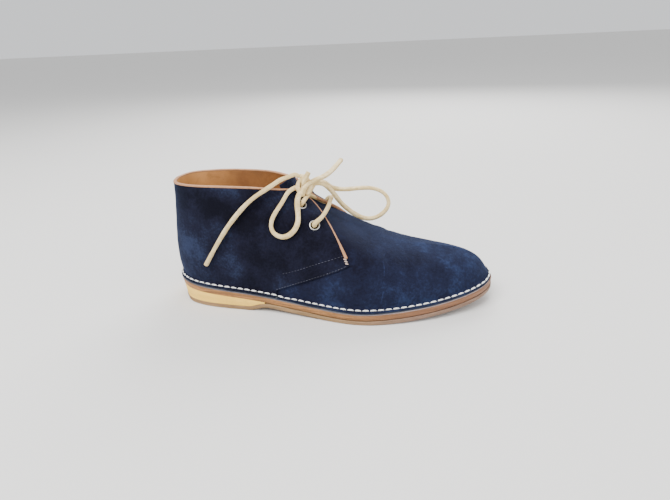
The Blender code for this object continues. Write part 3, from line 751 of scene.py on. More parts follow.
def new_finish(name, slot):
    """Material for a slot, with its tree, its shader and object coordinates."""
    finish = bpy.data.materials.new(name)
    finish.use_nodes = True
    finish["slot"] = slot         # kept on the material
    tree = finish.node_tree
    shader = tree.nodes["Principled BSDF"]
    where = tree.nodes.new("ShaderNodeTexCoord").outputs["Object"]
    return finish, tree, shader, where


def finished(tree, shader, **values):
    """Values and links on the shader's own sockets."""
    for key, value in values.items():
        feed(tree, shader.inputs[key.replace("_", " ")], value)


def relief(tree, height, distance, strength=1.0):
    """Normal from a bump of a real depth in metres."""
    return put(tree, "ShaderNodeBump", None, Height=height, Distance=distance,
               Strength=strength).outputs["Normal"]


# ---------------------------------------------------------------- finishes
# Places of another tone on the suede: middle, reach in mm, and how much lighter (or, below
# zero, darker) it is there. Some are nap stroked the other way, and some are painted light
# and painted shade.
QUARTER_NAP_AND_SHADE_PLACES = [((26.0, -26.0, 66.0), 32.0, 0.16), ((36.0, -30.0, 46.0), 28.0, 0.13),
                  ((60.0, -34.0, 36.0), 28.0, 0.09), ((112.0, -42.0, 26.0), 28.0, 0.12),
                  ((158.0, -34.0, 52.0), 20.0, 0.14), ((80.0, -27.0, 112.0), 30.0, 0.10),
                  # These four darker places along the collar are the painted shadow of a long soft
                  # fold.
                  ((28.0, -22.0, 106.0), 20.0, -0.30), ((50.0, -28.0, 99.0), 20.0, -0.34),
                  ((69.0, -29.0, 92.0), 20.0, -0.30), ((88.0, -30.0, 84.0), 24.0, -0.26),
                  ((110.0, -36.0, 58.0), 34.0, -0.12)]
# On the vamp, the first three places, lighter on the toe's top, are painted light from above; the
# darker place at (180, -22, 64), beside the facing, is painted shade; the rest are nap.
VAMP_NAP_LIGHT_AND_SHADE_PLACES = [((222.0, 4.0, 53.0), 26.0, 0.16), ((251.0, -4.0, 47.0), 24.0, 0.18),
               ((277.0, -8.0, 39.0), 30.0, 0.16), ((150.0, -48.0, 24.0), 24.0, 0.11),
               ((192.0, -44.0, 42.0), 34.0, -0.10), ((180.0, -22.0, 64.0), 34.0, -0.26),
               ((232.0, -30.0, 40.0), 26.0, -0.08), ((212.0, -47.0, 19.0), 26.0, 0.13),
               ((246.0, -37.0, 20.0), 26.0, 0.18), ((276.0, -20.0, 24.0), 24.0, 0.14)]
PLACE_EDGE_NOISE = 14.0       # how far noise moves the edge of such a place, mm
SCRATCH_MIDDLE = (204.0, -41.0, 42.0)
SCRATCH_HALF = 26.0       # half the scratch's length, mm
# Painted light: the lining's lighter place inside the collar's back, where light falls in.
LINING_LIT_PLACE = ((6.0, 18.0, 112.0), 62.0, (0.62, 0.29, 0.090))     # place, reach and colour
NICKEL, NICKEL_WORN = (0.56, 0.55, 0.53), (0.30, 0.28, 0.25)
BALL_LINE = (0.0, 0.09)   # metres along the boot over which the sole's edges turn dusty


def colours():
    return bpy.context.scene.boot_colours


# Used for places of nap, of painted light and of painted shade.
def nap_and_painted_light_place(tree, where, place, reach):
    """Mask of a rounded place on the boot: 1 at its middle and 0 beyond its reach.

    place and reach are in millimetres, and noise moves the place's edge.
    """
    edge = maths(tree, "MULTIPLY_ADD", noise(tree, where, 70.0, 3.0, 0.6), PLACE_EDGE_NOISE / 500,
                 distance_to(tree, where, framed(place)))
    return graded(tree, edge, (0.15 * reach + PLACE_EDGE_NOISE) / 1000,
                  (reach + PLACE_EDGE_NOISE) / 1000, 1.0, 0.0)


def scratched(tree, where):
    """Mask of a thin, broken scratch across the toe's outer side: a wavering plane, masked by
    the distance from its middle."""
    middle, half = framed(SCRATCH_MIDDLE), SCRATCH_HALF / 1000
    wander = maths(tree, "MULTIPLY_ADD", noise(tree, where, 60.0, 2.0), 0.006, middle[0] - 0.003)
    beside = maths(tree, "ABSOLUTE", maths(tree, "SUBTRACT", forwards(tree, where), wander))
    inside = maths(tree, "MULTIPLY", graded(tree, beside, 0.0002, 0.0008, 1.0, 0.0),
                   graded(tree, distance_to(tree, where, middle), 0.7 * half, half, 1.0, 0.0))
    return maths(tree, "MULTIPLY", inside, graded(tree, noise(tree, where, 160.0, 3.0), 0.4, 0.6))


def suede(name, part, places, scratch=False):
    """Brushed suede: tone from the nap, with bluer and darker places of nap, painted light and
    shade.
    """
    finish, tree, shader, where = new_finish(name, "suede")
    nap = placed(tree, "Brushed nap", Vector=where, Patch_Scale=55.0, Tuft_Scale=430.0)
    dark, middle, light = (getattr(colours(), part + tone) for tone in ("_dark", "", "_light"))
    shade = nap["Shade"]
    # Each place lightens or darkens the tone: nap places, painted light and painted shade.
    for place, reach, strength in places:
        mask = nap_and_painted_light_place(tree, where, place, reach)
        shade = maths(tree, "MULTIPLY_ADD", mask, strength, shade)
    if scratch:
        shade = maths(tree, "MULTIPLY_ADD", scratched(tree, where), 0.3, shade)
    body = tinted(tree, graded(tree, shade, 0.12, 0.56), dark, middle)
    body = tinted(tree, graded(tree, shade, 0.50, 1.05), body, light)
    finished(tree, shader, Base_Color=body, Normal=relief(tree, nap["Height"], 0.0005),
             Roughness=0.95, Sheen_Weight=0.1, Sheen_Roughness=0.5,
             Sheen_Tint=(0.36, 0.50, 0.95), Specular_IOR_Level=0.05)
    return finish


def cut_suede(name):
    """Cut edge of the flange; its grey is a painted highlight, the edge catching the light."""
    finish, tree, shader, where = new_finish(name, "suede")
    fibre = noise(tree, where, 1300.0, 3.0, 0.7)
    broad = noise(tree, where, 40.0, 2.0)
    shade = summed(tree, graded(tree, fibre, 0.3, 0.7), 0.5,
                   graded(tree, broad, 0.35, 0.65), 0.5)
    tint = colours()
    finished(tree, shader, Base_Color=tinted(tree, shade, tint.cut_dark, tint.cut),
             Normal=relief(tree, fibre, 0.0003), Roughness=0.9, Specular_IOR_Level=0.15)
    return finish


def tan_leather(name, colour, deep, cell, rough, worn=None):
    """Smooth vegetable-tanned leather; deep is the tone of its furrows, and worn a place of
    painted light, with its reach and its lighter colour."""
    finish, tree, shader, where = new_finish(name, "lining")
    colour = getattr(colours(), colour)
    grain = placed(tree, "Leather grain", Vector=where, Cell_Scale=cell)
    marks = placed(tree, "Handling marks", Vector=where, Smudge_Scale=70.0, Amount=0.45)
    body = tinted(tree, grain["Shade"], darker(colour, deep), colour)
    # worn is a place of painted light on the lining.
    if worn:
        place, reach, lighter = worn
        body = tinted(tree, nap_and_painted_light_place(tree, where, place, reach), body, lighter)
    body = tinted(tree, marks["Mask"], body, darker(colour, 0.55))
    finished(tree, shader, Base_Color=body,
             Roughness=graded(tree, grain["Shade"], 0.0, 1.0, rough + 0.1, rough - 0.08),
             Normal=relief(tree, grain["Height"], 0.00016, 0.7), Specular_IOR_Level=0.4)
    return finish


def stacked_edge(name, slot, colour, deep, layer, rough, soil, dusty=None):
    """Cut and sanded edge of a sole layer: long level streaks, fibres and smudges, and
    another colour from the ball of the foot forwards."""
    finish, tree, shader, where = new_finish(name, slot)
    colour = getattr(colours(), colour)
    stretched = put(tree, "ShaderNodeMapping", None, Vector=where,
                    Scale=(38.0, 38.0, layer)).outputs["Vector"]
    streak = noise(tree, stretched, 1.0, 4.0, 0.6, 0.3)
    fleck = noise(tree, where, 900.0, 3.0, 0.65)
    shade = summed(tree, graded(tree, streak, 0.36, 0.64), 0.7,
                   graded(tree, fleck, 0.3, 0.7), 0.3)
    marks = placed(tree, "Handling marks", Vector=where, Smudge_Scale=55.0, Amount=soil)
    body = tinted(tree, shade, darker(colour, deep), colour)
    if dusty:
        dusty = getattr(colours(), dusty)
        fore = tinted(tree, shade, darker(dusty, 0.62), dusty)
        body = tinted(tree, graded(tree, forwards(tree, where), *BALL_LINE), body, fore)
    body = tinted(tree, marks["Mask"], body, darker(colour, 0.45))
    finished(tree, shader, Base_Color=body,
             Roughness=graded(tree, shade, 0.0, 1.0, rough + 0.1, rough - 0.1),
             Normal=relief(tree, shade, 0.0002, 0.8), Specular_IOR_Level=0.35)
    return finish


def metal(name):
    finish, tree, shader, where = new_finish(name, "eyelet")
    wear = placed(tree, "Handling marks", Vector=where, Smudge_Scale=260.0, Amount=0.8)
    finished(tree, shader, Base_Color=tinted(tree, wear["Mask"], NICKEL, NICKEL_WORN),
             Roughness=graded(tree, wear["Mask"], 0.0, 0.8, 0.28, 0.5),
             Normal=relief(tree, noise(tree, where, 2500.0, 2.0), 0.00003), Metallic=1.0)
    return finish


def rawhide(name):
    """Square-cut rawhide: two pale faces, and two cut ones that show the yellow core."""
    finish, tree, shader, where = new_finish(name, "lace")
    mark = put(tree, "ShaderNodeAttribute", {"attribute_name": "mark"}).outputs["Fac"]
    fibre = noise(tree, where, 700.0, 4.0, 0.65, 0.4)
    cloud = noise(tree, where, 120.0, 3.0, 0.6)
    tint = colours()
    pale = tinted(tree, graded(tree, cloud, 0.35, 0.68), tint.lace_core, tint.lace)
    cut = maths(tree, "MULTIPLY", graded(tree, mark, 0.55, 0.85), 0.6)
    speck = graded(tree, fibre, 0.30, 0.46, 0.75, 0.0)
    body = tinted(tree, cut, pale, tint.lace_core)
    body = tinted(tree, speck, body, darker(tint.lace_core, 0.6))
    finished(tree, shader, Base_Color=body, Roughness=graded(tree, fibre, 0.3, 0.7, 0.8, 0.6),
             Normal=relief(tree, fibre, 0.0004), Specular_IOR_Level=0.3)
    return finish


def thread(name, colour):
    finish, tree, shader, where = new_finish(name, "lace")
    colour = getattr(colours(), colour)
    strand = noise(tree, where, 1400.0, 2.0, 0.6)
    body = tinted(tree, graded(tree, strand, 0.3, 0.7), darker(colour, 0.72), colour)
    finished(tree, shader, Base_Color=body, Normal=relief(tree, strand, 0.0002), Roughness=0.6,
             Specular_IOR_Level=0.35)
    return finish


def sunk_thread(name):
    """Thin thread sunk in the nap, with painted glints here and there."""
    finish, tree, shader, where = new_finish(name, "suede")
    colour = colours().fine_thread
    strand = noise(tree, where, 2000.0, 2.0, 0.6)
    shown = summed(tree, graded(tree, noise(tree, where, 55.0, 2.0), 0.35, 0.65), 0.7,
                   graded(tree, strand, 0.3, 0.7), 0.3)
    body = tinted(tree, shown, darker(colour, 0.25), colour)
    # Painted highlight: scattered glints that lighten the thread's colour.
    painted_glint = graded(tree, noise(tree, where, 150.0, 2.0), 0.62, 0.68)
    body = tinted(tree, painted_glint, body, darker(colour, 3.2))
    finished(tree, shader, Base_Color=body, Roughness=0.7)
    return finish


# Each finish, with the function that makes it and the values it is given. A leather's values
# are its colour, the tone of its furrows, its grain and its roughness. A sole layer's are its
# slot, its colour, the tone of its streaks, their fineness, its roughness and its soil, and
# its colour at the forefoot.
FINISHES = {
    "navy_suede_quarter": (suede, "quarter", QUARTER_NAP_AND_SHADE_PLACES),
    "navy_suede_vamp": (suede, "vamp", VAMP_NAP_LIGHT_AND_SHADE_PLACES, True),
    "cut_suede_edge": (cut_suede,),
    "tan_lining_leather": (tan_leather, "lining", 0.62, 1100.0, 0.5, LINING_LIT_PLACE),
    "binding_leather": (tan_leather, "binding", 0.7, 1500.0, 0.55),
    "midsole_leather": (stacked_edge, "midsole", "midsole", 0.42, 620.0, 0.5, 0.5, "midsole_fore"),
    "outsole_rubber": (stacked_edge, "outsole", "outsole", 0.62, 500.0, 0.7, 0.6, "outsole_fore"),
    "cream_wedge": (stacked_edge, "wedge", "wedge", 0.86, 160.0, 0.6, 0.25),
    "pale_backing": (stacked_edge, "lining", "backing", 0.6, 700.0, 0.7, 0.4, "backing_fore"),
    "brushed_nickel": (metal,),
    "rawhide_lace": (rawhide,),
    "waxed_thread": (thread, "thread"),
    "tack_thread": (thread, "tack"),
    "grey_blue_thread": (sunk_thread,),
}


def finish_of(name):
    """The finish of that name, made when it is first asked for."""
    make, *values = FINISHES[name]
    return bpy.data.materials.get(name) or make(name, *values)


# ---------------------------------------------------------------- sole
def tread(x):
    """Height of the outsole's lower face before the ball is worn flat on the ground: the
    sole's stack below the seat, and level under the heel as far as HEEL_FLAT."""
    return (seat(x) - STACK) * np.where(x < ARCH_JOIN, ease(HEEL_FLAT, ARCH_JOIN, x), 1)


def ribs(x, y, inset):
    """Fine ribs across the tread: a cosine wave, bent by the width, inside a plain border."""
    sizes = bpy.context.scene.boot_sole
    pitch, depth = sizes.rib_pitch * 1000, sizes.rib_depth * 1000
    wave = 0.5 - 0.5 * np.cos(2 * math.pi * (x + RIB_BOW * y ** 2) / pitch)
    field = sum(ease(start, full, x) * (1 - ease(fade, end, x))
                for start, full, fade, end in RIB_FIELDS)
    return depth * wave * field * ease(*RIB_BORDER, inset)


def undercut(share, below):
    """How far the sole's edge stands back round the heel, by its depth below the seat."""
    return UNDERCUT * below * (1 - ease(*UNDERCUT_FADE, share))


def straight_across(outer, inner, rows=41):
    """Rows of points from one line to another."""
    return outer + (inner - outer) * np.linspace(0, 1, rows)[:, None, None]


def slab_grids(inset, lower, upper, rounding, end=None, ribbed=False, count=300):
    """Sole layer as grids: its turned side on each side of the boot, then its two faces.

    The side's profile is a quarter circle, a straight and a quarter circle between the two
    faces, carried round the sole's outline. A face joins the two sides straight across. lower
    and upper give the faces' heights from x, and end is the x where the layer stops.
    """
    bend = np.linspace(0, math.pi / 2, 5)
    back = np.concatenate([1 - np.sin(bend), 1 - np.sin(bend[::-1])]) * rounding
    drop = np.concatenate([1 - np.cos(bend), np.cos(bend[::-1]) - 1]) * rounding
    from_top = np.arange(10) < 5
    walls = []
    for side in (LATERAL, MEDIAL):
        share = np.linspace(0, 1, 1441)
        plan, _ = EDGE.at(share, side, inset)
        last = 1.0 if end is None else np.interp(end, plan[:720, 0], share[:720])
        share = np.linspace(0, last, count)
        rows = []
        for set_in, down, top in zip(back, drop, from_top):
            plan, _ = EDGE.at(share, side, inset)
            below = seat(plan[:, 0]) - (upper if top else lower)(plan[:, 0])
            plan, _ = EDGE.at(share, side, inset + set_in + undercut(share, below))
            x = plan[:, 0] if end is None else np.minimum(plan[:, 0], end)
            thin = np.clip((upper(x) - lower(x)) / (3 * rounding), 0, 1)
            z = (upper(x) if top else lower(x)) - down * thin
            rows.append(np.column_stack([x, plan[:, 1], z]))
        walls.append(np.array(rows))
    outer, inner = walls
    top = straight_across(outer[0], inner[0])
    base = straight_across(outer[-1], inner[-1])
    if ribbed:
        from_outer, from_inner = (np.abs(base[..., 1] - wall[-1, :, 1]) for wall in walls)
        base[..., 2] += ribs(base[..., 0], base[..., 1], np.minimum(from_outer, from_inner))
    grids = [(outer, True), (inner, False), (top, False), (base, True)]
    if end is not None:
        tip = straight_across(outer[:, -1], inner[:, -1])
        grids.append((tip.transpose(1, 0, 2), True))
    return grids


def build_sole():
    """Outsole, wedge and midsole; the leather of the midsole shows a little below the seat."""
    soft = bpy.context.scene.boot_sole.edge_round * 1000
    outsole = slab_grids(0.0, lambda x: np.maximum(tread(x), 0),
                         lambda x: tread(x) + OUTSOLE_SHOWN, soft, ribbed=True)
    wedge = slab_grids(WEDGE_INSET, lambda x: tread(x) + OUTSOLE_SHOWN + JOINT,
                       lambda x: seat(x) - MIDSOLE_BASE - JOINT, soft / 2, WEDGE_END, count=160)
    midsole = slab_grids(MIDSOLE_INSET, lambda x: seat(x) - MIDSOLE_BASE,
                         lambda x: seat(x) - PALE_BASE - JOINT, soft)
    add_piece("outsole_finish", outsole, "outsole_rubber", ("outsole",))
    add_piece("heel_wedge_finish", wedge, "cream_wedge", ("heel_wedge",))
    add_piece("midsole_finish", midsole, "midsole_leather", ("midsole",))


def set_back(share):
    """How far the flange and its layers stand back from the sole's edge at heel and toe."""
    return BRIM_ENDS * (1 - ease(0, BRIM_FADE, share) + ease(1 - BRIM_FADE, 1, share))


def rim_band(name, finish, inset, low, high):
    """Flat band along the sole's edge, its outer corners rounded, between two heights over
    the seat."""
    share = np.linspace(0, 1, 240)
    corner = (high - low) / 3
    profile = [(-inset - corner, low), (-inset, low + corner), (-inset, high - corner),
               (-inset - corner, high), (-RIM_DEPTH, high), (-RIM_DEPTH, low),
               (-inset - corner, low)]
    grids = []
    for side in (LATERAL, MEDIAL):
        plan, out = EDGE.at(share, side, set_back(share))
        rim = np.column_stack([plan, seat(plan[:, 0])])
        grids.append((carried(rim, *upright_like(out), profile), side == LATERAL))
    add_piece(name, grids, finish)


def build_rim_layers():
    """Between flange and midsole: a thin pale layer, and over it the hide's second layer."""
    rim_band("pale_layer", "pale_backing", 0.25, -PALE_BASE, PALE_TOP)
    rim_band("flange_underlayer", "cut_suede_edge", 0.15, PALE_TOP + JOINT, QUARTER_BASE)


def build_footbed():
    """Leather footbed with a soft dished face."""
    share = np.linspace(0, 1, 160)
    inset = flange(share) + WALL + 4 * GAP
    both = straight_across(*(EDGE.at(share, side, inset)[0] for side in (LATERAL, MEDIAL)), 33)
    near = np.sin(np.linspace(0, 1, 33)[:, None] * math.pi)
    base = seat(both[..., 0])
    dish = FOOTBED_DISH * (1 - near ** 0.5) * ease(0.02, 0.2, share) \
        * (1 - ease(0.8, 0.98, share))
    low = np.concatenate([both, base[..., None]], -1)
    high = np.concatenate([both, (base + INSOLE - FOOTBED_SUNK + dish)[..., None]], -1)
    grids = [(low, True), (high, False), (np.stack([low[0], high[0]]), False),
             (np.stack([low[-1], high[-1]]), True)]
    add_piece("insole_finish", grids, "tan_lining_leather", ("insole",))


# ---------------------------------------------------------------- upper
def foot_rows(share, side, lift):
    """Turned-out flange and the fillet up to the wall, from the sole's edge inwards.

    The fillet is a quadratic curve between a point on the flange and a point on the wall,
    drawn towards the crease.
    """
    inset = BRIM_INSET + set_back(share)
    plan, out = EDGE.at(share, side, inset)
    outward, upright = upright_like(out)
    corner = crease(share, side)[0] + lift[:, None] * (outward + upright)
    rim = np.column_stack([plan, seat(plan[:, 0]) + WALL + lift])
    reach = np.minimum(FLANGE_FILLET, FILLET_SHARE * (flange(share) - inset))
    start = corner + reach[:, None] * outward
    start[:, 2] = seat(start[:, 0]) + WALL + lift
    wall = lifted(share, FOOT_RISE, side, lift)
    rows = [rim - FLANGE_LIP * upright, rim - FLANGE_LIP * outward]
    rows += [rim + (start - rim) * t for t in (0.35, 0.7)]
    rows += [(1 - t) ** 2 * start + 2 * t * (1 - t) * corner + t * t * wall
             for t in np.linspace(0, 1, 8)]
    return np.array(rows)


def undulation(points):
    """Slight unevenness of a worked hide: two fields of long sine waves across each other."""
    x, y, z = np.moveaxis(points, -1, 0)
    return (0.16 * np.sin(x / 9.0 + 0.8 * np.sin(z / 13.0)) * np.sin(z / 11.0 + y / 17.0)
            + 0.10 * np.sin(x / 4.7 + z / 6.1) * np.sin(z / 5.3 - x / 8.9 + 1.3))


# Creases of the worn forefoot and ankle: where each is deepest, how far it runs, its
# half-width, its direction from level, and its depth with the ridge beside it.
#                share   rise  reach  half  turn  depth
VAMP_CREASES = [(0.700, 0.620, 17.0, 3.4, 64.0, 0.50),
                (0.735, 0.560, 20.0, 3.8, 68.0, 0.60),
                (0.672, 0.500, 15.0, 3.0, 58.0, 0.42),
                (0.770, 0.470, 16.0, 4.2, 72.0, 0.40),
                (0.640, 0.250, 16.0, 4.0, 25.0, 0.35),
                (0.810, 0.800, 13.0, 4.5, 80.0, 0.30)]
QUARTER_CREASES = [(0.300, 0.560, 24.0, 5.5, 12.0, 0.60),
                   (0.340, 0.430, 22.0, 5.0, 20.0, 0.50),
                   (0.150, 0.600, 18.0, 6.0, -8.0, 0.50),
                   (0.440, 0.560, 16.0, 4.5, 50.0, 0.40),
                   (0.230, 0.250, 22.0, 6.0, 5.0, 0.35)]
FOLD_HEIGHT = 80.0        # height of the wall that the creases' reach is measured in


def folds(share, rise, creases):
    """Troughs with a soft ridge on either side, each worn away over its reach."""
    height = np.zeros(np.broadcast(share, rise).shape)
    for at_share, at_rise, reach, half, turn, depth in creases:
        ahead, up = (share - at_share) * SCALE[0], (rise - at_rise) * FOLD_HEIGHT
        turn = math.radians(turn)
        along = ahead * math.cos(turn) + up * math.sin(turn)
        aside = (up * math.cos(turn) - ahead * math.sin(turn)) / half
        height -= depth * (1 - 1.2 * aside ** 2) * np.exp(-aside ** 2) \
            * np.exp(-(along / reach) ** 2)
    return height


def quarter_patch():
    """Share and rise over one quarter, and the count of its columns above the flange."""
    seam = spaced(path_of(SEAM, 60), 64)
    first = np.column_stack([np.linspace(0, seam[0, 0], 78), np.full(78, FOOT_RISE)])
    bottom = np.concatenate([first, seam[1:]])
    facing, brow = facing_paths()
    corner = len(brow) - 28
    right = spaced(np.concatenate([facing, brow[1:corner + 1]]), 72)
    collar = np.column_stack([np.linspace(0, brow[-1, 0], 60), np.ones(60)])
    top = spaced(np.concatenate([collar, brow[corner:-1][::-1]]), len(bottom))
    top[-1] = right[-1]
    left = np.column_stack([np.zeros(72), np.linspace(FOOT_RISE, 1, 72)])
    return coons(bottom, top, left, right), len(first)


def facing_paths():
    """Share and rise up the facing's steep part, and along its upper part to the collar."""
    share = np.linspace(UPPER_FACING[-1][0], UPPER_FACING[0][0], 40)
    return path_of(FACING, 60), np.column_stack([share, table(UPPER_FACING, share)])


def facing_edge():
    """Share and rise along the free edge, from the throat's corner to the back of the heel."""
    facing, brow = facing_paths()
    collar = np.linspace(UPPER_FACING[0][0], 0, 120)[1:]
    return np.concatenate([facing, brow[1:], np.column_stack([collar, np.ones_like(collar)])])


def round_the_heel(halves):
    """One sheet from its outer and inner halves, which meet at the back."""
    outer, inner = halves
    return np.concatenate([inner[:, ::-1], outer[:, 1:]], 1)


def build_quarters():
    """Both quarters as one sheet round the heel, with the back seam as a narrow trough."""
    patch, on_flange = quarter_patch()
    share, rise = patch[..., 0], patch[..., 1]
    depth, half = SEAM_TROUGH
    trough = depth * np.exp(-(share * SCALE[0] / half) ** 2) * ease(0.02, 0.06, rise)
    fade = ease(0, WORKED_TOP, 1 - rise) * ease(0, WORKED_FOOT, rise)
    walls, skirts = [], []
    for side in (LATERAL, MEDIAL):
        worked = undulation(skin(share, rise, side)) + folds(share, rise, QUARTER_CREASES)
        lift = QUARTER_LIFT + worked * fade - trough
        walls.append(lifted(share, rise, side, lift))
        skirts.append(foot_rows(share[0, :on_flange], side, lift[0, :on_flange]))
    grids = [(round_the_heel(walls), False), (round_the_heel(skirts), False)]
    quarters = add_piece("quarters", grids, "navy_suede_quarter", ("upper",), weld=2e-5,
                         outward=False)
    thicken(quarters, QUARTER_THICK, SOFT_RIM)
    punch(quarters)


def vamp_patch(throat):
    """Share and rise over one side of the vamp; its last left rows follow the throat."""
    left = np.concatenate([spaced(path_of(TUCKED, 40), 34)[:-1], throat])
    right = np.column_stack([np.ones(len(left)), np.linspace(FOOT_RISE, 1, len(left))])
    count = 130
    bottom = np.column_stack([np.linspace(left[0, 0], 1, count), np.full(count, FOOT_RISE)])
    top = np.column_stack([np.linspace(THROAT_SHARE, 1, count), np.ones(count)])
    return coons(bottom, top, left, right)


def throat_line(turn):
    """Share and rise from the throat's corner to its front on the ridge: a quarter turn."""
    rise, share = TUCKED[-1]
    return np.column_stack([share + (THROAT_SHARE - share) * np.sin(turn),
                            rise + (1 - rise) * turn / turn[-1]])


def tongue_patch(turn):
    """Share and rise over one side of the tongue as far as its bend, whose lowest row is the
    throat's line and whose sides follow the tongue's edge and the ridge."""
    foot_rise, foot_share = TUCKED[-1]
    along = np.linspace(0, 1, 34)[:, None]
    part = turn / turn[-1]
    edge_rise = foot_rise + (TONGUE_EDGE[-1][0] - foot_rise) * along
    edge_share = table(TONGUE_EDGE, edge_rise)
    edge_share = foot_share + (edge_share - edge_share[0])
    ridge = THROAT_SHARE + (TONGUE_BEND - THROAT_SHARE) * along
    forward = np.sin(turn) + (part - np.sin(turn)) * along
    return edge_share + (ridge - edge_share) * forward, edge_rise + (1 - edge_rise) * part, along


def tongue_end(guided, side, part):
    """Free end of the tongue: a cubic curve in each column, from its bend, in the direction
    that it leaves with, to the rounded top edge."""
    x, half_width, z = table(TONGUE_TOP, 1 - part).T
    top = np.stack([x, TONGUE_MIDDLE + side * half_width, z], -1)
    length = np.linalg.norm(top - guided[-1], axis=-1, keepdims=True)
    start = unit(guided[-1] - guided[-2]) * length
    end = length * (-0.2, 0, 1)
    t = np.linspace(0, 1, 18)[1:, None, None]
    return ((2 * t ** 3 - 3 * t ** 2 + 1) * guided[-1] + (t ** 3 - 2 * t ** 2 + t) * start
            + (3 * t ** 2 - 2 * t ** 3) * top + (t ** 3 - t ** 2) * end)


def build_vamp():
    """Vamp and tongue as one sheet: the vamp rises from under the quarters to full height,
    and the tongue sinks under them and then runs free to its top."""
    turn = np.linspace(0, math.pi / 2, 26)
    patch = vamp_patch(throat_line(turn))
    share, rise = patch[..., 0], patch[..., 1]
    tongue_share, tongue_rise, along = tongue_patch(turn)
    depth = VAMP_SUNK + (TONGUE_SUNK - VAMP_SUNK) * ease(0, 0.5, along) + TONGUE_DROP * along ** 2
    grids = []
    for side in (LATERAL, MEDIAL):
        base = skin(share, rise, side)
        step = np.diff(base, axis=1, prepend=base[:, :1])
        ahead = ease(*LAP, np.cumsum(np.linalg.norm(step, axis=-1), 1))
        worked = undulation(base) + folds(share, rise, VAMP_CREASES)
        lift = worked * ahead - VAMP_SUNK * (1 - ahead)
        guided = lifted(tongue_share, tongue_rise, side, -depth + 0 * tongue_share)
        tongue = np.concatenate([guided, tongue_end(guided, side, turn / turn[-1])])
        for grid in (lifted(share, rise, side, lift), foot_rows(share[0], side, lift[0]), tongue):
            grids.append((grid, side == MEDIAL))
    vamp = add_piece("vamp_and_tongue", grids, "navy_suede_vamp", ("tongue",), weld=3e-5,
                     outward=False)
    thicken(vamp, VAMP_THICK, SOFT_RIM)


def build_lining():
    """Tan lining: under the quarters, and a thinner layer under the vamp to the toe."""
    patch, _ = quarter_patch()
    depth = QUARTER_LIFT - QUARTER_THICK - LINING_GAP
    wall = round_the_heel([lifted(patch[..., 0], patch[..., 1], side, depth)
                           for side in (LATERAL, MEDIAL)])
    lining_piece = add_piece("quarter_lining", [(wall, False)], "tan_lining_leather",
                             weld=2e-5, outward=False)
    thicken(lining_piece, LINING_THICK, 0.25)
    punch(lining_piece)

    rise = np.linspace(0, 1, 40)[:, None]
    front = VAMP_LINING_CORNER + (THROAT_SHARE + 0.01 - VAMP_LINING_CORNER) * ease(0.3, 1, rise)
    first = VAMP_LINING_BACK + (front - VAMP_LINING_BACK) * ease(0, 0.36, rise)
    share = first + (VAMP_LINING_END - first) * np.linspace(0, 1, 90)
    deep = VAMP_SUNK + VAMP_THICK + VAMP_LINING_GAP + TOE_ROOM * ease(*TOE_ROOM_FROM, share)
    grids = [(lifted(share, rise, side, -deep), side == MEDIAL) for side in (LATERAL, MEDIAL)]
    vamp_lining = add_piece("vamp_lining", grids, "tan_lining_leather", weld=3e-5,
                            outward=False)
    thicken(vamp_lining, VAMP_LINING_THICK)


def eyelet_frame(side, spot):
    """An eyelet's centre on the skin, two directions along the skin, and the one out of it."""
    share, rise = spot
    centre = skin(share, rise, side)
    axis = skin_normal(share, rise, side)
    first = unit(np.cross((0.0, 1.0, 0.0), axis))
    return centre, first, np.cross(axis, first), axis


def turned(side, spot, profile, steps=48):
    """Profile of radius and height, turned about an eyelet's axis in equal steps."""
    centre, first, second, axis = eyelet_frame(side, spot)
    angle = np.linspace(0, 2 * math.pi, steps + 1)
    radius, height = np.array(profile).T
    ring = np.cos(angle)[:, None] * first + np.sin(angle)[:, None] * second
    return centre + radius[:, None, None] * ring + height[:, None, None] * axis


def punch(piece):
    """Cut the eyelet holes through a piece, and keep the cut mesh as its own."""
    hole, half = EYELET_RIM - 2 * EYELET_ROLL + EYELET_ROOM, 6.0
    profile = [(0.0, -half), (hole, -half), (hole, half), (0.0, half)]
    grids = [(turned(side, spot, profile, 32), False)
             for side in (LATERAL, MEDIAL) for spot in EYELETS.values()]
    cutter = mesh_of("punch", grids, 2e-6, True)
    cut = piece.modifiers.new("eyelet holes", "BOOLEAN")
    cut.operation = "DIFFERENCE"
    cut.object = cutter
    bpy.context.view_layer.update()
    graph = bpy.context.evaluated_depsgraph_get()
    done = bpy.data.meshes.new_from_object(piece.evaluated_get(graph), depsgraph=graph)
    piece.modifiers.clear()
    piece.data = done
    done.name = piece.name
    bpy.data.objects.remove(cutter, do_unlink=True)
    if not len(done.polygons):
        raise RuntimeError(f"the eyelet holes left nothing of {piece.name}")


def build_eyelets():
    """Rolled metal eyelets: a half-round rim over the suede, and a barrel through the wall."""
    bend = np.linspace(-0.15, math.pi + 0.5, 14)
    middle = EYELET_RIM - EYELET_ROLL
    rim = np.column_stack([middle + EYELET_ROLL * np.cos(bend),
                           QUARTER_LIFT + 0.05 + EYELET_ROLL * np.sin(bend)])
    hole, foot = rim[-1, 0], -WALL - 0.2
    outside = hole + EYELET_SHEET
    barrel = [(hole, 0.0), (hole, foot), (outside, foot), (outside, 0.0),
              (rim[0, 0] - 0.35, QUARTER_LIFT - 0.2)]
    profile = np.concatenate([rim, barrel, rim[:1]])
    for side, label in ((LATERAL, "outer"), (MEDIAL, "inner")):
        for level, spot in EYELETS.items():
            node = f"eyelet_{label}_{level}"
            add_piece(f"{node}_finish", [(turned(side, spot, profile), False)],
                      "brushed_nickel", (node,))


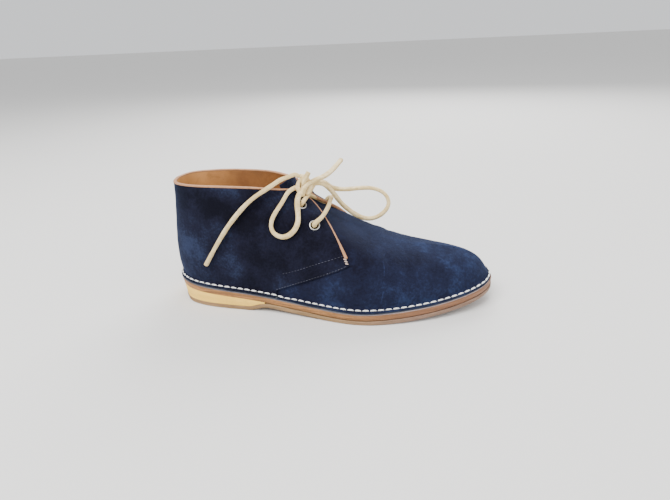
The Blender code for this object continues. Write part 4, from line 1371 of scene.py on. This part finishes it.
def build_binding():
    """Rolled leather edge round both facings and the collar: an oval carried along the edge,
    fullest at the throat's corners."""
    path = facing_edge()
    path = path[np.argmax(path[:, 1] > BINDING_START):]
    wall = QUARTER_THICK + LINING_THICK
    lines, normals = [], []
    for side in (LATERAL, MEDIAL):
        line = lifted(path[:, 0], path[:, 1], side, QUARTER_LIFT - wall / 2)
        normal = skin_normal(path[:, 0], path[:, 1], side)
        along = lengths(line)
        at = np.linspace(0, along[-1], 230)
        order = slice(None) if side == LATERAL else slice(-2, None, -1)
        lines.append(between(at, along, line)[order])
        normals.append(unit(between(at, along, normal))[order])
    line, normal = np.concatenate(lines), np.concatenate(normals)
    along = unit(np.gradient(line, axis=0))
    away = unit(np.cross(along, normal))
    reach = lengths(line)
    full = 1 - ease(*BINDING_FADE, np.minimum(reach, reach[-1] - reach))
    half = np.array(BINDING_SIZES) + (0, wall / 2) + full[:, None] * BINDING_FULL
    grid = tube(line - BINDING_INSET * away, half, BINDING_CORNER,
                frames=(along, away, np.cross(away, along)))
    add_piece("edge_binding", [(grid, False)], "binding_leather")


# ---------------------------------------------------------------- stitching
def flange_lift(share):
    """Height of the flange's top face above the wall's middle form."""
    ahead = (share - TUCKED[0][1]) * SCALE[0]
    vamp = -VAMP_SUNK * (1 - ease(*LAP, ahead))
    step = SEAM[0][1]
    return vamp + (QUARTER_LIFT - vamp) * (1 - ease(step, step + LAP_STEP, share))


def build_flange_stitches():
    """White welt stitches round the flange, a little outside the crease."""
    sizes = bpy.context.scene.boot_stitches
    share = np.linspace(0, 1, 700)
    grids = []
    for side in (LATERAL, MEDIAL):
        corner, out = crease(share, side)
        line = corner[:, :2] + out * (STITCH_OUT - STITCH_FOLLOW * set_back(share))[:, None]
        height = seat(line[:, 0]) + WALL + flange_lift(share) + STITCH_LIFT
        upright = unit(np.column_stack([-0.25 * out, np.ones_like(share)]))
        grids += stitch_run(np.column_stack([line, height]), upright, sizes.long * 1000,
                            sizes.pitch * 1000, sizes.thick * 1000)
    add_piece("flange_stitches", grids, "waxed_thread")


def along_seam(inset):
    """Share and rise along the quarter's lower edge, moved up and back from it by inset."""
    edge = path_of(SEAM, 200)
    run = unit(np.gradient(edge * SCALE, axis=0))
    inward = np.column_stack([-run[:, 1], run[:, 0]])
    return edge + inset * inward / SCALE


def build_fine_stitches():
    """Two fine rows beside the quarter's lower edge, and short bars at the throat's corners."""
    sizes = bpy.context.scene.boot_stitches
    lower = along_seam(LOWER_ROW_INSET)
    lower = lower[(lower[:, 1] > LOWER_ROW[0]) & (lower[:, 1] < LOWER_ROW[1])]
    long, thick = BAR_STITCH
    fine, bars = [], []
    for side in (LATERAL, MEDIAL):
        for path in (lower, path_of(UPPER_ROW, 80)):
            line = lifted(path[:, 0], path[:, 1], side, QUARTER_LIFT + 0.05)
            normal = skin_normal(path[:, 0], path[:, 1], side)
            fine += stitch_run(line, normal, sizes.fine_long * 1000, sizes.fine_pitch * 1000,
                               sizes.fine_thick * 1000)
        for rise in BAR_RISES:
            share = table(FACING, rise) + np.linspace(*BAR_SPAN, 12)
            across = lifted(share, rise, side, QUARTER_LIFT + 0.4)
            bars += stitch_run(across, skin_normal(share, rise, side), long, long, thick)[:1]
    add_piece("fine_stitches", fine, "grey_blue_thread")
    add_piece("corner_bars", bars, "tack_thread")


# ---------------------------------------------------------------- lace
LACE_TWIST = 0.35         # middle of the lace's turn, and how far it swings, in radians
LACE_FLATNESS = 0.86      # thickness of the lace for its width
LACE_CORNER = 3.4         # squareness of its section, as for the binding
BAR_HEIGHTS = (-1.9, 0.9, 3.4)    # the lace's points on an eyelet's axis
# Strands of the knot round its middle, from the wraps behind to the heart of the bow in front.
KNOT_STRANDS = {
    "core": [(130.4, -7.0, 112.6), (133.0, -9.9, 110.4), (136.0, -8.4, 107.6)],
    "from_outer_end": [(129.3, -6.9, 118.1), (132.3, -6.6, 118.2), (135.6, -7.0, 116.6),
                       (137.4, -8.2, 113.9)],
    "left": [(135.4, -6.9, 114.9), (131.6, -9.3, 115.9), (128.9, -11.9, 113.3),
             (129.0, -13.4, 109.1), (130.9, -13.2, 104.6)],
    "from_inner_end": [(139.2, -8.7, 113.5), (137.3, -11.4, 112.9), (134.9, -13.6, 110.3),
                       (133.3, -14.2, 106.6), (132.4, -13.4, 103.2)],
    "right": [(138.3, -4.6, 113.2), (138.9, -7.6, 109.8), (137.6, -10.2, 106.2),
              (135.4, -11.6, 103.6)],
    "from_front_loop": [(135.3, -1.4, 108.3), (132.6, -3.4, 108.2), (131.0, -6.4, 108.6)],
    "from_outer_loop": [(131.2, -13.2, 106.8), (132.6, -9.6, 108.8), (133.6, -6.5, 109.6)],
    "stub": [(133.2, -10.8, 112.8), (134.7, -12.2, 116.4), (137.0, -12.2, 120.3),
             (138.9, -11.6, 123.6)],
}
# Short strand over the tongue, between the wall's eyelets, its ends under both quarters.
CROSSING = [(129.6, -4.0, 99.8), (133.4, 4.6, 98.0), (137.0, 11.3, 94.3), (140.4, 15.2, 91.2),
            (143.0, 18.4, 87.6), (144.6, 22.0, 83.0)]


def smooth_line(route):
    """Spline through a lace's points, at steps of about 1.6 mm."""
    route = np.asarray(route, float)
    reach = lengths(route)
    return spline(reach, route, np.linspace(0, reach[-1], math.ceil(reach[-1] / 1.6) + 1))


def add_lace(name, routes, stands_for=()):
    """Square-cut lace along smooth lines. Its twist and its width run slowly to and fro, and
    its mark is high on the two cut faces."""
    grids, marks = [], []
    half = bpy.context.scene.boot_lace.width * 500
    for number, route in enumerate(routes):
        line = smooth_line(route)
        reach = lengths(line)
        turn = LACE_TWIST * (1 + np.sin(reach / 17.0 + number))
        uneven = 1 + 0.05 * np.sin(reach / 3.1 + number) * np.sin(reach / 7.7)
        grid = tube(line, half * uneven[:, None] * (1.0, LACE_FLATNESS), LACE_CORNER, turn)
        angle = np.linspace(0, 2 * math.pi, grid.shape[1])
        grids.append((grid, False))
        marks.append(np.abs(np.cos(angle)) + np.zeros(grid.shape[:2]))
    return add_piece(name, grids, "rawhide_lace", stands_for, marks=marks)


def through_eyelet(side, level):
    """Middle line of the lace through an eyelet, from inside the boot outwards."""
    centre, _, _, axis = eyelet_frame(side, EYELETS[level])
    return [centre + height * axis for height in BAR_HEIGHTS]


def build_lace():
    """Bars through the eyelets, the strand over the tongue, the knot, and the bow's cords."""
    for level, middle in (("lower", BAR_LOWER), ("upper", BAR_UPPER)):
        outer = through_eyelet(LATERAL, level)
        inner = through_eyelet(MEDIAL, level)
        add_lace(f"lace_bar_{level}_finish", [outer + middle + inner[::-1]],
                 (f"lace_bar_{level}",))
    add_lace("lace_crossing", [CROSSING])
    add_lace("lace_knot_finish", list(KNOT_STRANDS.values()), ("lace_knot",))
    for name, route, far_end in (("loop_outer", LOOP_OUTER, "object"),
                                 ("loop_front", LOOP_FRONT, "object"),
                                 ("end_outer", END_OUTER, "bare"),
                                 ("end_inner", END_INNER, "bare")):
        strand = add_lace(f"lace_{name}_finish", [route], (f"lace_{name}",))
        path = framed(smooth_line(route))


# ---------------------------------------------------------------- stage
LIT_MIDDLE = (0.0, 0.0, 0.06)     # point that the lights face, in metres


def stand(item, right, above, back, place):
    """Place a light or the camera, by its three directions and its point."""
    rows = np.column_stack([right, above, back, place])
    item.matrix_world = Matrix([*rows.tolist(), (0, 0, 0, 1)])


def build_stage():
    """Pale floor, three soft lights, a pale sky, and the camera."""
    stage = bpy.context.scene.boot_stage
    floor = bpy.data.meshes.new("floor")
    reach = 60.0
    floor.from_pydata([(-reach, -reach, 0), (reach, -reach, 0), (reach, reach, 0),
                       (-reach, reach, 0)], [], [(0, 1, 2, 3)])
    finish = bpy.data.materials.new("pale_floor")
    finish.use_nodes = True
    shader = finish.node_tree.nodes["Principled BSDF"]
    finished(finish.node_tree, shader, Base_Color=stage.floor_colour, Roughness=0.85)
    floor.materials.append(finish)
    linked("floor", floor)

    world = bpy.data.worlds.new("studio")
    world.use_nodes = True
    sky = world.node_tree.nodes["Background"]
    sky.inputs["Color"].default_value = (0.96, 0.975, 1.0, 1)
    sky.inputs["Strength"].default_value = stage.sky
    bpy.context.scene.world = world
    for name, place, power, size in (("key", (-0.55, -0.75, 1.45), stage.key, 1.1),
                                     ("fill", (1.3, -0.6, 0.8), stage.fill, 1.6),
                                     ("back", (0.2, 1.3, 1.1), stage.back, 1.2)):
        lamp = bpy.data.lights.new(name, "AREA")
        lamp.energy = power
        lamp.size = size
        aim = unit(np.array(place) - LIT_MIDDLE)
        side = unit(np.cross((0.0, 0.0, 1.0), aim))
        stand(linked(name, lamp), side, np.cross(aim, side), aim, place)

    turn, tip, roll = stage.camera_turn, stage.camera_tip, stage.camera_roll
    ahead = np.array([math.sin(turn) * math.cos(tip), math.cos(turn) * math.cos(tip),
                      -math.sin(tip)])
    right = np.array([math.cos(turn), -math.sin(turn), 0.0])
    above = np.cross(right, ahead)
    right, above = (math.cos(roll) * right + math.sin(roll) * above,
                    math.cos(roll) * above - math.sin(roll) * right)
    lens = bpy.data.cameras.new("camera")
    lens.sensor_width = 36.0
    lens.lens = stage.camera_lens
    lens.clip_start = 0.01
    camera = linked("camera", lens)
    stand(camera, right, above, -ahead, stage.camera_place)
    bpy.context.scene.camera = camera


# ---------------------------------------------------------------- settings
def colour_of(name, description, default):
    return FloatVectorProperty(name=name, description=description, default=default, size=3,
                               subtype="COLOR", min=0, max=1)


def size_of(name, description, default):
    return FloatProperty(name=name, description=description, default=default, min=0,
                         unit="LENGTH", subtype="DISTANCE")


def power_of(name, description, default):
    return FloatProperty(name=name, description=description, default=default, min=0,
                         unit="POWER")


def angle_of(name, description, degrees):
    return FloatProperty(name=name, description=description, default=math.radians(degrees),
                         subtype="ANGLE")


class BootColours(bpy.types.PropertyGroup):
    """Colours of the boot's leathers, rubbers and threads."""

    # The quarters' colours are darker than the vamp's: partly the panels' own tone, partly painted
    # shade and painted light, the vamp's top facing the light from above.
    quarter: colour_of("Quarter", "Nap of the quarters", (0.0082, 0.0082, 0.0172))
    quarter_dark: colour_of("Quarter Dark", "Nap away from the light", (0.0037, 0.0033, 0.0064))
    quarter_light: colour_of("Quarter Light", "Nap towards the light", (0.0208, 0.028, 0.0592))
    vamp: colour_of("Vamp", "Nap of the vamp", (0.0098, 0.0114, 0.0264))
    vamp_dark: colour_of("Vamp Dark", "Nap away from the light", (0.0059, 0.0056, 0.012))
    vamp_light: colour_of("Vamp Light", "Nap towards the light", (0.02, 0.0304, 0.0736))
    # Cut Edge is a painted highlight, the flange's cut edge catching the light; Cut Edge Dark is
    # its tone without it.
    cut: colour_of("Cut Edge", "Cut edge of the flange", (0.084, 0.092, 0.108))
    cut_dark: colour_of("Cut Edge Dark", "Soiled cut edge of the flange", (0.0128, 0.0144, 0.024))
    lining: colour_of("Lining", "Leather inside the boot", (0.32, 0.128, 0.0352))
    binding: colour_of("Binding", "Rolled edge of collar and facings", (0.496, 0.248, 0.12))
    backing: colour_of("Backing", "Layer between flange and midsole", (0.208, 0.192, 0.208))
    backing_fore: colour_of("Backing Fore", "The same layer at the forefoot", (0.496, 0.376, 0.368))
    midsole: colour_of("Midsole", "Edge of the leather midsole", (0.424, 0.192, 0.0624))
    midsole_fore: colour_of("Midsole Fore", "Dusty midsole at the forefoot", (0.264, 0.118, 0.0544))
    outsole: colour_of("Outsole", "Edge of the outsole under the heel", (0.328, 0.2, 0.0944))
    outsole_fore: colour_of("Outsole Fore", "Dusty outsole at the forefoot", (0.264, 0.16, 0.11))
    wedge: colour_of("Wedge", "Cream wedge under the heel", (1.0, 0.62, 0.115))
    lace: colour_of("Lace", "Faces of the rawhide lace", (0.90, 0.74, 0.44))
    lace_core: colour_of("Lace Core", "Cut edges of the rawhide lace", (0.64, 0.47, 0.21))
    thread: colour_of("Thread", "Stitches of the flange", (0.97, 0.96, 0.93))
    tack: colour_of("Tack", "Short bars at the throat's corners", (0.592, 0.448, 0.376))
    fine_thread: colour_of("Fine Thread", "Stitches of the quarters", (0.078, 0.082, 0.118))


class BootSole(bpy.types.PropertyGroup):
    """Sizes of the sole's finish."""

    edge_round: size_of("Edge Rounding", "Radius along each layer's edges", 0.0007)
    rib_pitch: size_of("Rib Pitch", "Distance between the tread's ribs", 0.005)
    rib_depth: size_of("Rib Depth", "Depth between the tread's ribs", 0.0009)


class BootStitches(bpy.types.PropertyGroup):
    """Sizes of the stitches."""

    long: size_of("Length", "Length of a stitch on the flange", 0.0061)
    pitch: size_of("Pitch", "Distance between stitches on the flange", 0.0065)
    thick: size_of("Thread", "Thickness of the flange's thread", 0.00145)
    fine_long: size_of("Fine Length", "Length of a stitch on the quarter", 0.0021)
    fine_pitch: size_of("Fine Pitch", "Distance between stitches on the quarter", 0.0029)
    fine_thick: size_of("Fine Thread", "Thickness of the quarter's thread", 0.00042)


class BootLace(bpy.types.PropertyGroup):
    """Size of the lace."""

    width: size_of("Width", "Width of the square-cut lace", LACE / 1000)


class BootStage(bpy.types.PropertyGroup):
    """Floor, light and camera."""

    floor_colour: colour_of("Floor", "Colour of the floor", (0.72, 0.71, 0.69))
    sky: FloatProperty(name="Sky", description="Strength of the pale sky", default=0.98, min=0)
    key: power_of("Key", "Main light", 44.0)
    fill: power_of("Fill", "Light from the toe", 15.0)
    back: power_of("Back", "Light from behind", 30.0)
    camera_place: FloatVectorProperty(name="Camera", description="Where the camera stands",
                                      default=(0.071, -0.3868, 0.224), size=3,
                                      subtype="TRANSLATION", unit="LENGTH")
    camera_turn: angle_of("Turn", "Turn towards the toe", -9.5)
    camera_tip: angle_of("Tip", "Tilt below level", 24.3)
    camera_roll: angle_of("Roll", "Roll about the view", -2.6)
    camera_lens: FloatProperty(name="Lens", description="Focal length in millimetres",
                               default=24.72, min=1)


# ---------------------------------------------------------------- operators and panel
class BOOT_OT_stage(bpy.types.Operator):
    """Set the floor, lights and camera"""

    bl_idname = "boot.stage"
    bl_label = "Stage"

    def execute(self, context):
        build_stage()
        return {"FINISHED"}


class BOOT_OT_lace(bpy.types.Operator):
    """Run the lace through the eyelets and tie its bow"""

    bl_idname = "boot.lace"
    bl_label = "Lace"

    def execute(self, context):
        build_lace()
        return {"FINISHED"}


class BOOT_OT_sole(bpy.types.Operator):
    """Build the outsole, wedge, midsole and backing"""

    bl_idname = "boot.sole"
    bl_label = "Sole"

    def execute(self, context):
        build_sole()
        build_rim_layers()
        return {"FINISHED"}


class BOOT_OT_footbed(bpy.types.Operator):
    """Lay the footbed"""

    bl_idname = "boot.footbed"
    bl_label = "Footbed"

    def execute(self, context):
        build_footbed()
        return {"FINISHED"}


class BOOT_OT_vamp(bpy.types.Operator):
    """Build the vamp and its tongue"""

    bl_idname = "boot.vamp"
    bl_label = "Vamp and Tongue"

    def execute(self, context):
        build_vamp()
        return {"FINISHED"}


class BOOT_OT_quarters(bpy.types.Operator):
    """Build the quarters with their eyelet holes"""

    bl_idname = "boot.quarters"
    bl_label = "Quarters"

    def execute(self, context):
        build_quarters()
        return {"FINISHED"}


class BOOT_OT_lining(bpy.types.Operator):
    """Line the quarters and the vamp"""

    bl_idname = "boot.lining"
    bl_label = "Lining"

    def execute(self, context):
        build_lining()
        return {"FINISHED"}


class BOOT_OT_binding(bpy.types.Operator):
    """Roll the binding over collar and facings"""

    bl_idname = "boot.binding"
    bl_label = "Binding"

    def execute(self, context):
        build_binding()
        return {"FINISHED"}


class BOOT_OT_eyelets(bpy.types.Operator):
    """Set the eyelets"""

    bl_idname = "boot.eyelets"
    bl_label = "Eyelets"

    def execute(self, context):
        build_eyelets()
        return {"FINISHED"}


class BOOT_OT_stitching(bpy.types.Operator):
    """Sew the flange, the quarters' lower edges and the throat's corners"""

    bl_idname = "boot.stitching"
    bl_label = "Stitching"

    def execute(self, context):
        build_flange_stitches()
        build_fine_stitches()
        return {"FINISHED"}


STEPS = (BOOT_OT_stage, BOOT_OT_lace, BOOT_OT_sole, BOOT_OT_footbed, BOOT_OT_vamp,
         BOOT_OT_quarters, BOOT_OT_lining, BOOT_OT_binding, BOOT_OT_eyelets, BOOT_OT_stitching)
SETTINGS = {"boot_colours": BootColours, "boot_sole": BootSole, "boot_stitches": BootStitches,
            "boot_lace": BootLace, "boot_stage": BootStage}


class BOOT_PT_panel(bpy.types.Panel):
    """Steps and settings of the boot's finish"""

    bl_idname = "BOOT_PT_panel"
    bl_label = "Chukka Boot"
    bl_space_type = "VIEW_3D"
    bl_region_type = "UI"
    bl_category = "Boot"

    def draw(self, context):
        for step in STEPS:
            self.layout.operator(step.bl_idname)
        for name, group in SETTINGS.items():
            box = self.layout.box()
            for key in group.__annotations__:
                box.prop(getattr(context.scene, name), key)


def register():
    for group in SETTINGS.values():
        bpy.utils.register_class(group)
    for name, group in SETTINGS.items():
        setattr(bpy.types.Scene, name, PointerProperty(type=group))
    for one in (*STEPS, BOOT_PT_panel):
        bpy.utils.register_class(one)


def unregister():
    for one in (BOOT_PT_panel, *reversed(STEPS)):
        bpy.utils.unregister_class(one)
    for name, group in SETTINGS.items():
        delattr(bpy.types.Scene, name)
        bpy.utils.unregister_class(group)


def main():
    register()
    for step in STEPS:
        group, name = step.bl_idname.split(".")
        getattr(getattr(bpy.ops, group), name)()


if __name__ == "__main__":
    main()
